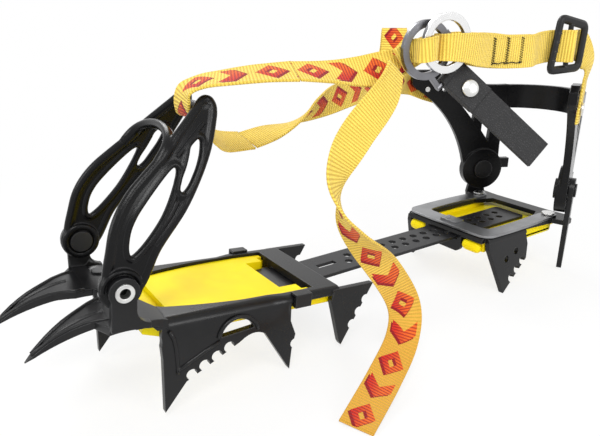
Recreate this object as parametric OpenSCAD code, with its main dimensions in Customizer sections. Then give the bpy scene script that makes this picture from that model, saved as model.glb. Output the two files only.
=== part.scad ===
// Strap-on mountaineering crampon: two pressed steel frames on a perforated bar, moulded cages at toe
// and heel, snow plates, a spring lock plate and a woven strap closed by two rings.
// Millimetres; X from toe to heel, Z up.

/* [Front frame] */
// Thickness of the pressed steel
steel_t = 3.5; // [3:0.1:4]
// Half width over the side walls of the front frame
wall_half = 36.5; // [35.5:0.5:40]
// Outer radius of the bend between top plate and side wall
bend_r = 4; // [4:0.1:5]
// Upward pitch of the front frame, degrees
toe_rise = 6.2; // [4:0.1:8]
// Distance from the rear crossbar to the toe pivot
toe_reach = 116.7; // [112:0.1:122]
// Height of the toe pivot over the top plate
toe_pivot_h = 19.5; // [17:0.5:24]
// Depth of the large side points below the top plate
big_point_depth = 48.5; // [44:0.5:56]
// Radius of the scallops in the serrated edges
scallop_r = 2.9; // [2.4:0.1:3.2]
// Radius of the curve of the nose and its front points
front_curve_r = 51; // [49:0.5:54]
// How far the large point of the far side stands ahead of the near one
far_lead = 12; // [8:1:14]

/* [Toe cage] */
// Thickness of the moulded toe cage
cage_t = 4.5; // [3.5:0.1:6]
// Radius of the pivot disc of the toe cage
toe_disc_r = 9.5; // [8:0.1:10.5]
// Height of the toe cage above its pivot
toe_cage_h = 74; // [70:1:78]
// Half width of the toe cage at its top
toe_top_half = 12; // [10:0.5:15]
// Radius of the strap bar at the top of the toe cage
strap_bar_r = 3; // [2:0.1:4]

/* [Linking bar] */
// Width of the bar
bar_w = 26; // [22:0.5:27]
// Thickness of the bar
bar_t = 2; // [1.5:0.1:2.2]
// Pitch of the adjusting holes in each row
hole_pitch = 10; // [10:1:12]
// Radius of the adjusting holes
hole_r = 2.6; // [2.3:0.1:3]
// Rear end of the bar
bar_end = 207; // [204:1:209]

/* [Heel frame] */
// Front edge of the heel frame
heel_front = 129; // [128:0.5:130]
// Half width over the side walls of the heel frame
heel_half = 38.5; // [38:0.5:40]
// Outward flare of the heel points, degrees
heel_flare = 11; // [6:0.5:14]
// Depth of the heel points below the bend
heel_point_depth = 37.5; // [34:0.5:40]
// Thickness of the spring lock plate
lock_t = 1.5; // [1:0.1:2]

/* [Heel cage] */
// Thickness of the moulded heel cage
heel_cage_t = 5; // [4:0.1:5.6]
// Radius of the round back of the heel cage
heel_back_r = 36; // [34:0.5:38]
// Outward turn of the flat sides of the heel cage, degrees
heel_turn = 26; // [20:1:32]
// Radius of the heel pivot disc
heel_disc_r = 17; // [14:0.5:18]
// Height of the heel pivots
heel_pivot_h = 22; // [20:0.5:24]

/* [Strap and rings] */
// Width of the webbing
strap_w = 18; // [16:0.5:18.5]
// Thickness of the webbing
strap_t = 1.5; // [1.2:0.1:1.7]
// Inner radius of the closure rings
ring_in_r = 11.2; // [11:0.1:12]
// Radial width of the closure rings
ring_w = 3.8; // [3:0.1:4.2]
// Thickness of the closure rings
ring_t = 2.4; // [1.8:0.1:2.6]
// Length of the pull tab
tab_len = 66; // [50:1:80]
// Width of the pull tab
tab_w = 16; // [14:0.5:18]

/* [Fits] */
// Radial clearance of a turning shank in its hole
turn_fit = 0.08; // [0.02:0.01:0.1]
// Gap between flat faces that move past each other
side_gap = 0.25; // [0.1:0.05:0.4]
// Radius of the rivet shanks
shank_r = 3.2; // [2.6:0.1:3.4]

/* [Hidden] */
$fn = 48;
black = [0.05, 0.05, 0.055];
yellow = [0.95, 0.8, 0.12];
grey = [0.55, 0.56, 0.57];
silver = [0.8, 0.8, 0.8];
webbing = [0.9, 0.74, 0.3];
soft_gap = 0.4;
rail_half = wall_half - bend_r;
nose_x = -95;
nose_rise = 3.6;
nose_lead = 7;
// Run along a front point at which its pressed groove ends
groove_run = 51 * sin(43);
ear_out = wall_half + steel_t;
cage_out = wall_half - side_gap;
cage_mid = cage_out - cage_t / 2;
cage_in = cage_out - cage_t;
toe_x = -toe_reach * cos(toe_rise) + toe_pivot_h * sin(toe_rise);
toe_z = toe_reach * sin(toe_rise) + toe_pivot_h * cos(toe_rise);
lean_dy = cage_mid - toe_top_half;
lean_r = (lean_dy * lean_dy + toe_cage_h * toe_cage_h) / (2 * lean_dy);
bar_z = -4.5;
bar_half = bar_w / 2;
bar_fit = 0.7;
peg_x = 138;
peg_y = -4;
peg_r = hole_r - 0.4;
heel_rail = heel_half - bend_r;
back_x = 211.5;
back_run = 15;
back_end = [back_x + heel_back_r * sin(heel_turn), heel_back_r * cos(heel_turn)];
heel_dir = [-cos(heel_turn), sin(heel_turn)];
heel_pivot = back_end + back_run * heel_dir;
lock_rivet = [208, 32];
lock_gap = 0.7;
boss_t = 2.5;
ring_c = [50, -46, 126];
ring_turn = 9;
ring_step = [8.8, 4.7, 3.4];
lug_angle = 46;
lug_reach = ring_in_r + ring_w + 5.5;
lug_r = 1.5;
lug_half = tab_w / 2 + 1.3;
tab_t = 2.4;
tab_shift = 4;
tab_swing = 25;
slide_t0 = 88;
slide_len = 26;

// Points on a bowed edge from p to q that stands h to the left of its chord
function bow(p, q, h, n = 10) = let (d = q - p, s = [-d[1], d[0]] / norm(d))
    [for (i = [0:n]) let (t = i / n) p + t * d + 4 * h * t * (1 - t) * s];

// A child and its mirror image on the far side
module both_sides() {
    children();
    mirror([0, 1, 0]) children();
}

// The pitch of the front frame about its rear crossbar
module pitched() {
    rotate([0, toe_rise, 0]) children();
}

// A plate in the XZ plane with its outer face at -y_out
module side_plate(y_out, t) {
    translate([0, t - y_out, 0]) rotate([90, 0, 0]) linear_extrude(t) children();
}

// Quarter bend along X between a top plate and the near side wall
module rail_bend(half, x0, x1) {
    translate([x0, 0, 0]) rotate([90, 0, 90]) linear_extrude(x1 - x0)
        translate([bend_r - half, -bend_r]) intersection() {
            difference() {
                circle(bend_r);
                circle(bend_r - steel_t + 0.5);
            }
            translate([-bend_r, 0]) square([bend_r + 0.3, bend_r]);
        }
}

// Front frame

// Opening of the front frame, drawn in by g
module front_opening(g = 0) {
    half = rail_half - 2.5 - g;
    intersection() {
        translate([-25, half - 247]) circle(247);
        translate([-25, 247 - half]) circle(247);
        union() {
            translate([-80, 0]) circle(24 - g);
            translate([-80, -31]) square([71 - g, 62]);
        }
    }
}

module front_plan() {
    difference() {
        translate([nose_x, -rail_half]) square([6 - nose_x, 2 * rail_half]);
        front_opening();
    }
}

// Nose seen from above, with its two front points
module nose_plan() {
    ear_half = wall_half + 1;
    difference() {
        union() {
            polygon([[nose_x + 0.5, -wall_half], [-110.5, -ear_half], [-toe_reach - 5.5, -ear_half],
                [-126, -27], [-126, 27], [-toe_reach - 5.5, ear_half], [-110.5, ear_half],
                [nose_x + 0.5, wall_half]]);
            for (k = [-1, 1]) {
                polygon([[-118, 27 * k], [-127, 27 * k], [-150, 22 * k], [-153.5, 20.4 * k],
                    [-153.5, 19 * k], [-150, 17.6 * k], [-128, 9.5 * k], [-118, 4.5 * k]]);
            }
        }
        front_opening();
        polygon([[-113, -1], [-113, 1], [-128, 9.5], [-128.5, 0], [-128, -9.5]]);
        translate([-113.3, 0]) circle(1.6);
    }
}

// Circle that thins the points from below: it leaves the inner side at a run of 16 and meets the tip
nose_in = front_curve_r - steel_t;
nose_tip = [-39.5, sqrt(pow(front_curve_r, 2) - pow(39.5, 2))];
nose_leave = [-16, sqrt(pow(nose_in, 2) - 256)] / nose_in;
thin_back = (pow(front_curve_r, 2) - pow(nose_in, 2)) / (2 * (nose_in - nose_tip * nose_leave));

// Nose bent to a cylinder, with a pressed groove along each tapered front point
module bent_nose() {
    translate([-114, 0, nose_rise - front_curve_r]) difference() {
        intersection() {
            rotate([90, 0, 0]) difference() {
                cylinder(h = 90, r = front_curve_r, center = true);
                cylinder(h = 92, r = front_curve_r - steel_t, center = true);
            }
            translate([114, 0, 10]) linear_extrude(60) nose_plan();
        }
        both_sides() translate([0, -20, 0]) rotate([90, 0, 0]) rotate([0, 0, 97])
            rotate_extrude(angle = asin(groove_run / front_curve_r) - 7)
                translate([front_curve_r + 0.7, 0]) circle(1.8);
        intersection() {
            translate([-thin_back * nose_leave[0], 0, -thin_back * nose_leave[1]]) rotate([90, 0, 0])
                cylinder(h = 90, r = nose_in + thin_back, center = true);
            translate([-60, -45, 0]) cube([44, 90, 60]);
        }
    }
}

// Nose whose far point stands further forward than the near one
module front_nose() {
    difference() {
        bent_nose();
        translate([-180, 4, -60]) cube([66, 50, 70]);
    }
    intersection() {
        translate([-nose_lead, 0, 0]) bent_nose();
        translate([-180, 4.5, -60]) cube([66 - nose_lead, 50, 70]);
    }
    translate([-114.5 - nose_lead, 4.5, nose_rise - steel_t]) cube([nose_lead + 1, 22.5, steel_t - 0.02]);
    translate([-toe_reach - 5.5, 20, nose_rise - steel_t])
        cube([toe_reach - 106.5, wall_half - 19, steel_t - 0.02]);
}

// Outline of a side wall: serrated large point and rear point; lead moves the large point forward
module wall_outline(lead = 0) {
    n = lead > 0 ? 5 : 3;
    difference() {
        polygon(concat([[-98 - lead, lead > 0 ? 1 : -bend_r], [-98.5 - lead, -12], [-97.4 - lead, -20],
            [-95.6 - lead, -big_point_depth], [-85.3 - lead, -34.2], [-57, -19.5]],
            bow([-54, -17.5], [-42, -18], 1.8, 6),
            [[-24.6, -43.5], [-24.2, -31], [-22.6, -22.5], [-26.4, -14], [-27, -bend_r]],
            lead > 0 ? [[-97, -bend_r], [-97, 0.5]] : [[-97, -bend_r]]));
        for (i = [0:n]) {
            translate([-82.6 - lead + (6.6 + lead * 0.06) * i, -31 + (3.4 - lead * 0.06) * i])
                circle(scallop_r);
        }
        translate([-22.6, -28]) circle(scallop_r - 0.2);
        intersection() {
            translate([-58, -16.5]) circle(9.8);
            polygon([[-68, -14.6], [-48, -12.6], [-48, -2], [-68, -2]]);
        }
    }
}

// Outline of the turned point behind the crossbar
module turned_outline() {
    difference() {
        polygon([[0.5, -1.2], [30, -1], [10.8, -37], [9.4, -35], [0.5, -9]]);
        for (i = [0:2]) {
            translate([25.6 - 4.1 * i, -10.5 - 7.2 * i]) circle(scallop_r - 0.1);
        }
    }
}

// Ear of the toe cage with a round foot behind it
module ear_outline() {
    foot = nose_rise - 2;
    translate([-toe_reach, toe_pivot_h]) circle(6.7);
    translate([-toe_reach - 5.5, foot]) square([11, toe_pivot_h - foot]);
    translate([-toe_reach + 5, nose_rise - 0.5]) difference() {
        translate([0, -2]) square([7, 9]);
        translate([7.5, 7.5]) circle(7);
    }
}

module front_frame() {
    color(black) pitched() difference() {
        union() {
            translate([0, 0, -steel_t]) linear_extrude(steel_t) front_plan();
            front_nose();
            difference() {
                union() {
                    side_plate(wall_half, steel_t) wall_outline();
                    rail_bend(wall_half, -106, 6);
                }
                translate([-108.5, -wall_half, -10.5]) rotate([90, 0, 0])
                    cylinder(h = 20, r = 10.5, center = true);
            }
            mirror([0, 1, 0]) {
                side_plate(wall_half, steel_t) wall_outline(far_lead);
                rail_bend(wall_half, nose_x - 1, 6);
            }
            both_sides() {
                side_plate(wall_half, steel_t) turned_outline();
                side_plate(ear_out, steel_t) ear_outline();
            }
            translate([-9, -24, -12]) cube([steel_t, 48, 12 - steel_t / 2]);
        }
        translate([-10, -bar_half - bar_fit, bar_z - 4.1]) cube([steel_t + 2, bar_w + 2 * bar_fit, 4.4]);
        both_sides() translate([-toe_reach, -wall_half, toe_pivot_h]) rotate([90, 0, 0])
            cylinder(h = 20, r = shank_r + turn_fit, center = true);
        translate([-110, 25, -10]) cylinder(h = 20, r = 2.2);
    }
}

// Snow plate that fills the front opening and hangs under the rails
module front_snow_plate() {
    half = wall_half - steel_t - 0.6;
    color(yellow) pitched() difference() {
        union() {
            translate([0, 0, -6]) linear_extrude(4.2) front_opening(soft_gap + 0.1);
            translate([0, 0, -9.6]) linear_extrude(9.6 - steel_t - soft_gap)
                polygon([[-11, -half], [-96, -half], [-104, -26], [-104, 26], [-96, half], [-11, half]]);
            both_sides() translate([-12, -half, -9.6]) cube([17, half - 25, 9.6 - steel_t - soft_gap]);
        }
        translate([0, 0, -11]) linear_extrude(4.6)
            polygon([[-26, -half + 2.5], [-94, -half + 2.5], [-101, -25], [-101, 25], [-94, half - 2.5],
                [-26, half - 2.5]]);
        translate([-24, -19, -8.9]) cube([30, 38, 20]);
        translate([-106, -45, -steel_t - 1.6]) cube([16, 90, 5]);
        both_sides() translate([-13, -25.2, -8.9]) cube([20, 7, 20]);
    }
}

// Moulded clips that hold the snow plate on the rails
module snow_plate_clips() {
    color(black) pitched() both_sides() {
        translate([-25.5, -wall_half - 2.1, -6.2]) cube([10, 1.8, 7.4]);
        translate([-25.5, -wall_half - 2.1, 0.05]) cube([10, 2 + bend_r, 1.2]);
        translate([-25.5, -wall_half - 2.1, -6.2]) cube([10, 5.5, 1.8]);
    }
}

module front_plate_rivet() {
    color(silver) pitched() translate([-110, 25, nose_rise]) {
        cylinder(h = 1, r = 3.6);
        translate([0, 0, -steel_t]) cylinder(h = steel_t + 0.5, r = 2.15);
    }
}

// Tubular rivets that carry the toe cage
module toe_rivets() {
    color(silver) pitched() both_sides() translate([-toe_reach, 0, toe_pivot_h]) rotate([90, 0, 0])
        difference() {
            union() {
                translate([0, 0, cage_in - side_gap]) cylinder(h = ear_out - cage_in + side_gap, r = shank_r);
                translate([0, 0, ear_out]) cylinder(h = 0.9, r = shank_r + 1);
                translate([0, 0, cage_in - side_gap - 1.6]) cylinder(h = 1.6, r = shank_r + 2.3);
            }
            translate([0, 0, cage_in]) cylinder(h = 20, r = shank_r - 0.8);
        }
}

// Toe cage, drawn about its pivot

// Outline of one side of the toe cage in the XZ plane
module leaf_outline() {
    s = toe_cage_h / 74;
    difference() {
        polygon(concat(bow([-8.5, 2], [25.5, 55.5 * s], 6, 14), [[28, 58 * s], [32, 60 * s], [37, 62.5 * s],
            [41, 66.5 * s], [45, 68 * s], [48, 69 * s], [49.6, 71.5 * s], [50.4, 74.5 * s], [52, 76.6 * s],
            [54.5, 77.5 * s], [57, 76.9 * s], [59.2, 74.8 * s], [60.4, 71.5 * s]],
            bow([60.6, 68 * s], [20, 8], 4.6, 14), [[8, -5]]));
        polygon(concat(bow([4, 11.5], [44, 56.5 * s], 6.6, 12), bow([44, 56.5 * s], [4, 11.5], 3.4, 12)));
        polygon(concat(bow([36.5, 31 * s], [55, 64 * s], 2.6, 8), bow([55, 64 * s], [36.5, 31 * s], 2.2, 8)));
    }
}

module toe_cage() {
    s = toe_cage_h / 74;
    color(black) translate([toe_x, 0, toe_z]) difference() {
        union() {
            both_sides() {
                intersection() {
                    translate([-30, lean_r - cage_mid, 0]) rotate([0, 90, 0]) difference() {
                        cylinder(h = 110, r = lean_r + cage_t / 2);
                        translate([0, 0, -1]) cylinder(h = 112, r = lean_r - cage_t / 2);
                    }
                    rotate([90, 0, 0]) linear_extrude(50) leaf_outline();
                }
                translate([0, -cage_in, 0]) rotate([90, 0, 0]) cylinder(h = cage_t, r = toe_disc_r);
            }
            translate([20, 0, 48.5 * s]) rotate([0, -25, 0]) rotate([0, 0, -68]) rotate_extrude(angle = 136)
                translate([22.3, -4]) square([4, 8]);
            translate([54, 0, 69 * s]) rotate([90, 0, 0])
                cylinder(h = 2 * toe_top_half + 7, r = strap_bar_r, center = true);
        }
        both_sides() translate([0, -cage_mid, 0]) rotate([90, 0, 0])
            cylinder(h = 20, r = shank_r + turn_fit, center = true);
    }
}

// Perforated bar with its T head in front of the crossbar slot
module linking_bar() {
    color(black) difference() {
        union() {
            translate([-19.5, -17.5, bar_z - bar_t]) cube([9, 35, bar_t]);
            translate([-12, -bar_half, bar_z - bar_t]) cube([bar_end + 9.5, bar_w, bar_t]);
            translate([bar_end - 5, 2.5 - bar_half, bar_z - bar_t]) cube([5, bar_w - 5, bar_t]);
            both_sides() translate([bar_end - 2.5, 2.5 - bar_half, bar_z - bar_t])
                cylinder(h = bar_t, r = 2.5);
        }
        for (i = [-10:5]) {
            translate([peg_x + hole_pitch * i, peg_y, bar_z - 5]) cylinder(h = 10, r = hole_r);
            translate([peg_x + hole_pitch * (i + 0.5), -peg_y, bar_z - 5]) cylinder(h = 10, r = hole_r);
        }
        translate([16, -2, bar_z - 5]) cube([14, 4, 10]);
    }
}

// Heel frame

module heel_opening(g = 0) {
    offset_x = heel_front + 14.5;
    polygon([[offset_x + g, -24 + g], [offset_x + 4 + g, -27 + g], [196, -27 + g], [211 - g, -20 + g],
        [211 - g, 20 - g], [196, 27 - g], [offset_x + 4 + g, 27 - g], [offset_x + g, 24 - g]]);
}

module heel_plan() {
    x0 = heel_front + bend_r;
    difference() {
        polygon([[x0, -heel_rail], [x0, heel_rail], [176, heel_rail], [206, heel_half - 1],
            heel_pivot + [-5, 8], heel_pivot + [4, 6.5], heel_pivot + [10, 0], [222, 25], [222, -25],
            [heel_pivot[0] + 10, -heel_pivot[1]], [heel_pivot[0] + 4, -heel_pivot[1] - 6.5],
            [heel_pivot[0] - 5, -heel_pivot[1] - 8], [206, 1 - heel_half], [176, -heel_rail]]);
        heel_opening();
    }
}

module heel_point_outline() {
    tip = [144.5, -heel_point_depth];
    difference() {
        polygon([[heel_front + 3, 1], [heel_front + 3.5, -4], tip, [172, -18], [174.5, -8], [173, 1]]);
        for (i = [0:2]) {
            translate([154 + 6.6 * i, -28.6 + 4.9 * i]) circle(scallop_r);
        }
        translate([150, -14]) circle(2.4);
        translate([161, -10.5]) circle(2.4);
    }
}

// Ear and rear point in one blade, in a plane turned about the vertical
module heel_blade_outline() {
    translate([0, heel_pivot_h]) circle(9);
    polygon([[-6.5, heel_pivot_h], [-6.5, 8], [-8, 0], [-6.5, -6], [-2.2, -39.5], [2.2, -39.5],
        [6.5, -6], [8, 0], [6.5, 8], [6.5, heel_pivot_h]]);
}

// Moves a child to the turned plane at the far heel pivot: X rearward, Y outward
module at_heel_pivot() {
    translate([heel_pivot[0], heel_pivot[1], 0]) rotate([0, 0, -heel_turn]) children();
}

module heel_frame() {
    x0 = heel_front + bend_r;
    blade_in = heel_cage_t / 2 + side_gap;
    color(black) difference() {
        union() {
            translate([0, 0, -steel_t]) linear_extrude(steel_t) heel_plan();
            both_sides() {
                rail_bend(heel_half, x0, 174);
                translate([0, -heel_half, -bend_r]) rotate([-heel_flare, 0, 0]) side_plate(0, steel_t)
                    heel_point_outline();
            }
            both_sides() at_heel_pivot() translate([0, blade_in + steel_t, 0]) rotate([90, 0, 0])
                linear_extrude(steel_t) heel_blade_outline();
            translate([x0, heel_rail, 0]) rotate([90, 0, 0]) linear_extrude(2 * heel_rail)
                translate([0, -bend_r]) intersection() {
                    difference() {
                        circle(bend_r);
                        circle(bend_r - steel_t + 0.5);
                    }
                    translate([-bend_r, 0]) square(bend_r);
                }
            translate([heel_front, 0, -bend_r]) rotate([90, 0, 90]) linear_extrude(steel_t - 0.5) union() {
                translate([-17, -7]) square([34, 8]);
                translate([-12, -12]) square([24, 6]);
                translate([-12, -7]) circle(5);
                translate([12, -7]) circle(5);
            }
        }
        translate([heel_front - 1, -bar_half - bar_fit, bar_z - bar_t - 0.6])
            cube([steel_t + 2, bar_w + 2 * bar_fit, bar_t + 1.2]);
        translate([peg_x, peg_y, -10]) cylinder(h = 20, r = peg_r + 1.2);
        both_sides() {
            translate([lock_rivet[0], lock_rivet[1], -10]) cylinder(h = 20, r = 2.55);
            at_heel_pivot() translate([0, 5, heel_pivot_h]) rotate([90, 0, 0])
                cylinder(h = 20, r = shank_r + turn_fit, center = true);
        }
    }
}

// Snow plate under the heel frame, with two swellings in the front arches
module heel_snow_plate() {
    x0 = heel_front + 4;
    half = heel_half - steel_t - 1.2;
    color(yellow) difference() {
        union() {
            translate([x0, -half, -12]) cube([78, 2 * half, 12 - steel_t - soft_gap]);
            translate([0, 0, -6]) linear_extrude(4) heel_opening(soft_gap);
            both_sides() translate([heel_front + 2.5, -29, -8.6]) {
                rotate([-90, 0, 0]) cylinder(h = 7.5, r = 4);
                sphere(4);
                translate([0, 7.5, 0]) sphere(4);
            }
        }
        translate([x0 - 1, -bar_half - 1.5, bar_z - bar_t - soft_gap]) cube([100, bar_w + 3, 20]);
        translate([x0 + 4, 4 - half, -13]) cube([68, 2 * half - 8, 3.2]);
        translate([x0 - 5, -heel_half, -steel_t - soft_gap]) cube([14.8, 2 * heel_half, 10]);
    }
}

// Spring lock plate on top of the heel frame

module lock_plate() {
    x0 = heel_front + 0.5;
    leg = lock_rivet[1] + 5.4;
    inner = lock_rivet[1] - 5.2;
    color(grey) difference() {
        union() {
            linear_extrude(lock_t) polygon(concat(bow([x0, 1.5 - heel_half], [x0, heel_half - 1.5], 1, 10),
                bow([x0 + 1.5, heel_half], [lock_rivet[0], leg], 1.5, 10),
                bow([lock_rivet[0], -leg], [x0 + 1.5, -heel_half], 1.5, 10)));
            both_sides() translate([lock_rivet[0], lock_rivet[1], 0]) cylinder(h = lock_t, r = 5.5);
        }
        translate([0, 0, -1]) linear_extrude(lock_t + 2) polygon(concat(
            bow([x0 + 13.5, 27], [x0 + 13.5, -27], -0.6, 6),
            bow([x0 + 16, -29], [lock_rivet[0] - 7, -inner], -1.2, 8), [[230, -inner], [230, inner]],
            bow([lock_rivet[0] - 7, inner], [x0 + 16, 29], -1.2, 8)));
        both_sides() translate([lock_rivet[0], lock_rivet[1], -1]) cylinder(h = lock_t + 2, r = 2.9);
        translate([peg_x, peg_y, -1]) cylinder(h = lock_t + 2, r = peg_r + 0.05);
    }
}

module lock_peg() {
    color(grey) {
        translate([peg_x, peg_y, bar_z - bar_t]) cylinder(h = lock_t - bar_z + bar_t + 0.5, r = peg_r);
        translate([peg_x - 4.5, -7, lock_t]) cube([9, 14, 1.4]);
        translate([peg_x, 3.5, lock_t + 1]) cylinder(h = 1.2, r = 1.8);
    }
}

module lock_rivets() {
    color(silver) both_sides() translate([lock_rivet[0], lock_rivet[1], 0]) {
        translate([0, 0, -steel_t]) cylinder(h = steel_t + lock_t + lock_gap + 0.5, r = 2.5);
        translate([0, 0, lock_t + lock_gap]) cylinder(h = 1, r = 4.6);
    }
}

// Heel cage

// Flat side of the cage about its pivot: arms, strap wing and windows
module heel_fan_outline() {
    difference() {
        polygon(concat([[-65, 92], [-65, 99], [-60, 103], [-46, 103], [-40, 98]],
            bow([-30, 95], [back_run, 91], -1.5, 6),
            [[back_run + 0.6, 91], [back_run + 0.6, 66]],
            bow([back_run, 60], [back_run, heel_pivot_h], -1, 4), [[-15, heel_pivot_h]],
            bow([-16.5, heel_pivot_h + 6], [-62, 89], -8, 14)));
        polygon([[-26, 79], [-20, 83], [-9, 84], [-11, 62]]);
        polygon([[-3, 80], [6, 78], [3.5, 45], [-3.5, 54]]);
        translate([-60, 97.5]) square([12, 2.6]);
        translate([-38, 88]) circle(1.9);
    }
}

module heel_cage() {
    color(black) difference() {
        union() {
            translate([back_x, 0, 72.2]) rotate([0, 0, heel_turn - 90])
                rotate_extrude(angle = 180 - 2 * heel_turn)
                translate([heel_back_r - heel_cage_t / 2 + 0.2, 0]) square([heel_cage_t - 0.4, 18.5]);
            both_sides() at_heel_pivot() rotate([90, 0, 0]) {
                linear_extrude(heel_cage_t, center = true) heel_fan_outline();
                translate([0, heel_pivot_h, -heel_cage_t / 2])
                    cylinder(h = heel_cage_t + boss_t, r = heel_disc_r);
                translate([back_run - 1, heel_pivot_h, -heel_cage_t / 2]) cube([10, 8, heel_cage_t]);
            }
        }
        both_sides() at_heel_pivot() {
            translate([0, 0, heel_pivot_h]) rotate([90, 0, 0])
                cylinder(h = 20, r = shank_r + turn_fit, center = true);
            translate([-52, 0, 88]) rotate([90, 0, 0]) cylinder(h = 20, r = 2.05, center = true);
        }
    }
}

module heel_pivots() {
    color(silver) both_sides() at_heel_pivot() translate([0, 0, heel_pivot_h]) rotate([-90, 0, 0]) {
        inner = heel_cage_t / 2 + side_gap;
        translate([0, 0, -inner - boss_t]) cylinder(h = 2 * inner + boss_t + steel_t, r = shank_r);
        translate([0, 0, -inner - boss_t - 2]) cylinder(h = 2, r = 7.5);
        translate([0, 0, inner + steel_t]) cylinder(h = 1.4, r = 5);
    }
}

// Rivets that hold the strap ends on the wings of the heel cage
module strap_rivets() {
    outer = heel_cage_t / 2 + strap_t + 0.85;
    color(silver) both_sides() at_heel_pivot() translate([-52, 0, 88]) rotate([-90, 0, 0]) {
        translate([0, 0, -heel_cage_t / 2]) cylinder(h = heel_cage_t / 2 + outer + 0.2, r = 2);
        translate([0, 0, outer]) cylinder(h = 1.2, r = 4.2);
    }
}

// Rings, tab and slide

// Moves a child to the ring plane: X along the strap, -Y outward
module at_rings() {
    translate(ring_c) rotate([0, 0, -ring_turn]) children();
}

module ring_dark() {
    color(grey) at_rings() difference() {
        union() {
            rotate([90, 0, 0]) cylinder(h = ring_t, r = ring_in_r + ring_w, center = true);
            rotate([0, lug_angle, 0]) translate([0, 0, tab_shift]) {
                translate([1, -ring_t / 2, lug_half]) cube([lug_reach - 1, ring_t, 2.4]);
                translate([11, -ring_t / 2, -lug_half - 2.4]) cube([lug_reach - 11, ring_t, 2.4]);
                translate([lug_reach, 0, -lug_half - 2.4]) cylinder(h = 2 * lug_half + 4.8, r = lug_r);
            }
        }
        rotate([90, 0, 0]) cylinder(h = 20, r = ring_in_r, center = true);
    }
}

module ring_silver() {
    color(silver) at_rings() translate([ring_step[0], -ring_step[1], ring_step[2]]) rotate([90, 0, 0])
        difference() {
            cylinder(h = ring_t, r = ring_in_r + ring_w, center = true);
            cylinder(h = 20, r = ring_in_r, center = true);
        }
}

// Moves a child to the tab: X along the tab, Z across it
module at_tab() {
    at_rings() rotate([0, lug_angle, 0]) translate([lug_reach, 0, tab_shift]) rotate([0, 0, -tab_swing])
        children();
}

module pull_tab() {
    outer = lug_r + turn_fit + 1.6;
    color(black) at_tab() difference() {
        union() {
            translate([0, 0, -tab_w / 2]) cylinder(h = tab_w, r = outer);
            translate([0, -tab_t / 2, -tab_w / 2]) cube([tab_len, tab_t, tab_w]);
            translate([2, -tab_t / 2 - 0.9, -tab_w / 2]) cube([20, tab_t + 1.8, tab_w]);
        }
        cylinder(h = 60, r = lug_r + turn_fit, center = true);
        translate([13, 0, 0]) rotate([90, 0, 0]) cylinder(h = 20, r = 2.05, center = true);
    }
}

module tab_rivet() {
    out = tab_t / 2 + 0.9;
    color(silver) at_tab() translate([13, 0, 0]) rotate([90, 0, 0]) {
        cylinder(h = 2 * out, r = 2, center = true);
        translate([0, 0, out]) cylinder(h = 1, r = 4.5);
        translate([0, 0, -out - 1]) cylinder(h = 1, r = 4.5);
    }
}

// Three-bar slide on the short strap
module strap_slide() {
    h = strap_w + 11;
    slot_h = strap_w + 2;
    color(black) at_rings() translate([slide_t0, -2.5, -h / 2]) difference() {
        cube([slide_len, 3, h]);
        translate([3.5, -1, (h - slot_h) / 2]) cube([8, 5, slot_h]);
        translate([slide_len - 11.5, -1, (h - slot_h) / 2]) cube([8, 5, slot_h]);
    }
}

// Webbing

// A route point: position, direction across the webbing, and width factor
function at_ring(t, n, z) = ring_c + [t * cos(ring_turn) - n * sin(ring_turn),
    -t * sin(ring_turn) - n * cos(ring_turn), z];
function unit(v) = v / norm(v);
function blend_pt(a, b, c, d, t) = ((2 * b) + (c - a) * t + (2 * a - 5 * b + 4 * c - d) * t * t
    + (3 * b - a - 3 * c + d) * t * t * t) / 2;
function pick(r, i) = r[max(0, min(len(r) - 1, i))];
function flow(r, k) = concat([for (i = [0:len(r) - 2], j = [0:k - 1])
    blend_pt(pick(r, i - 1), r[i], r[i + 1], pick(r, i + 2), j / k)], [r[len(r) - 1]]);

// Webbing swept along route points [x, y, z, wx, wy, wz, width]
module ribbon(route, k = 4) {
    p = flow(route, k);
    n = len(p);
    rings = [for (i = [0:n - 1]) let (
        a = pick(p, i - 1), b = pick(p, i + 1),
        along = unit([b[0] - a[0], b[1] - a[1], b[2] - a[2]]),
        raw = unit([p[i][3], p[i][4], p[i][5]]),
        over = unit(cross(along, raw)),
        across = cross(over, along),
        c = [p[i][0], p[i][1], p[i][2]], w = across * p[i][6] / 2, h = over * strap_t / 2)
        [c - w - h, c + w - h, c + w + h, c - w + h]];
    points = [for (r = rings, q = r) q];
    faces = concat([[0, 1, 2], [0, 2, 3]],
        [for (i = [0:n - 2], s = [0:3], f = [0:1]) let (a = 4 * i + s, b = 4 * i + (s + 1) % 4)
            f == 0 ? [a, a + 4, b + 4] : [a, b + 4, b]],
        [[4 * n - 4, 4 * n - 2, 4 * n - 3], [4 * n - 4, 4 * n - 1, 4 * n - 2]]);
    color(webbing) polyhedron(points, faces);
}

function rp(p, w, k = 1) = [p[0], p[1], p[2], w[0], w[1], w[2], strap_w * k];

toe_top = [toe_x + 54, 0, toe_z + 69 * toe_cage_h / 74];
loop_d = strap_bar_r + soft_gap + strap_t / 2;
mid_near = rp([-18, -26.5, 117.5], [0, 0.92, 0.4]);
mid_far = rp([-18, 24.5, 75], [0.1, 0.92, 0.35]);
up = [0, 0, 1];
joint_gap = [soft_gap, 0, 0, 0, 0, 0, 0];

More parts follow.
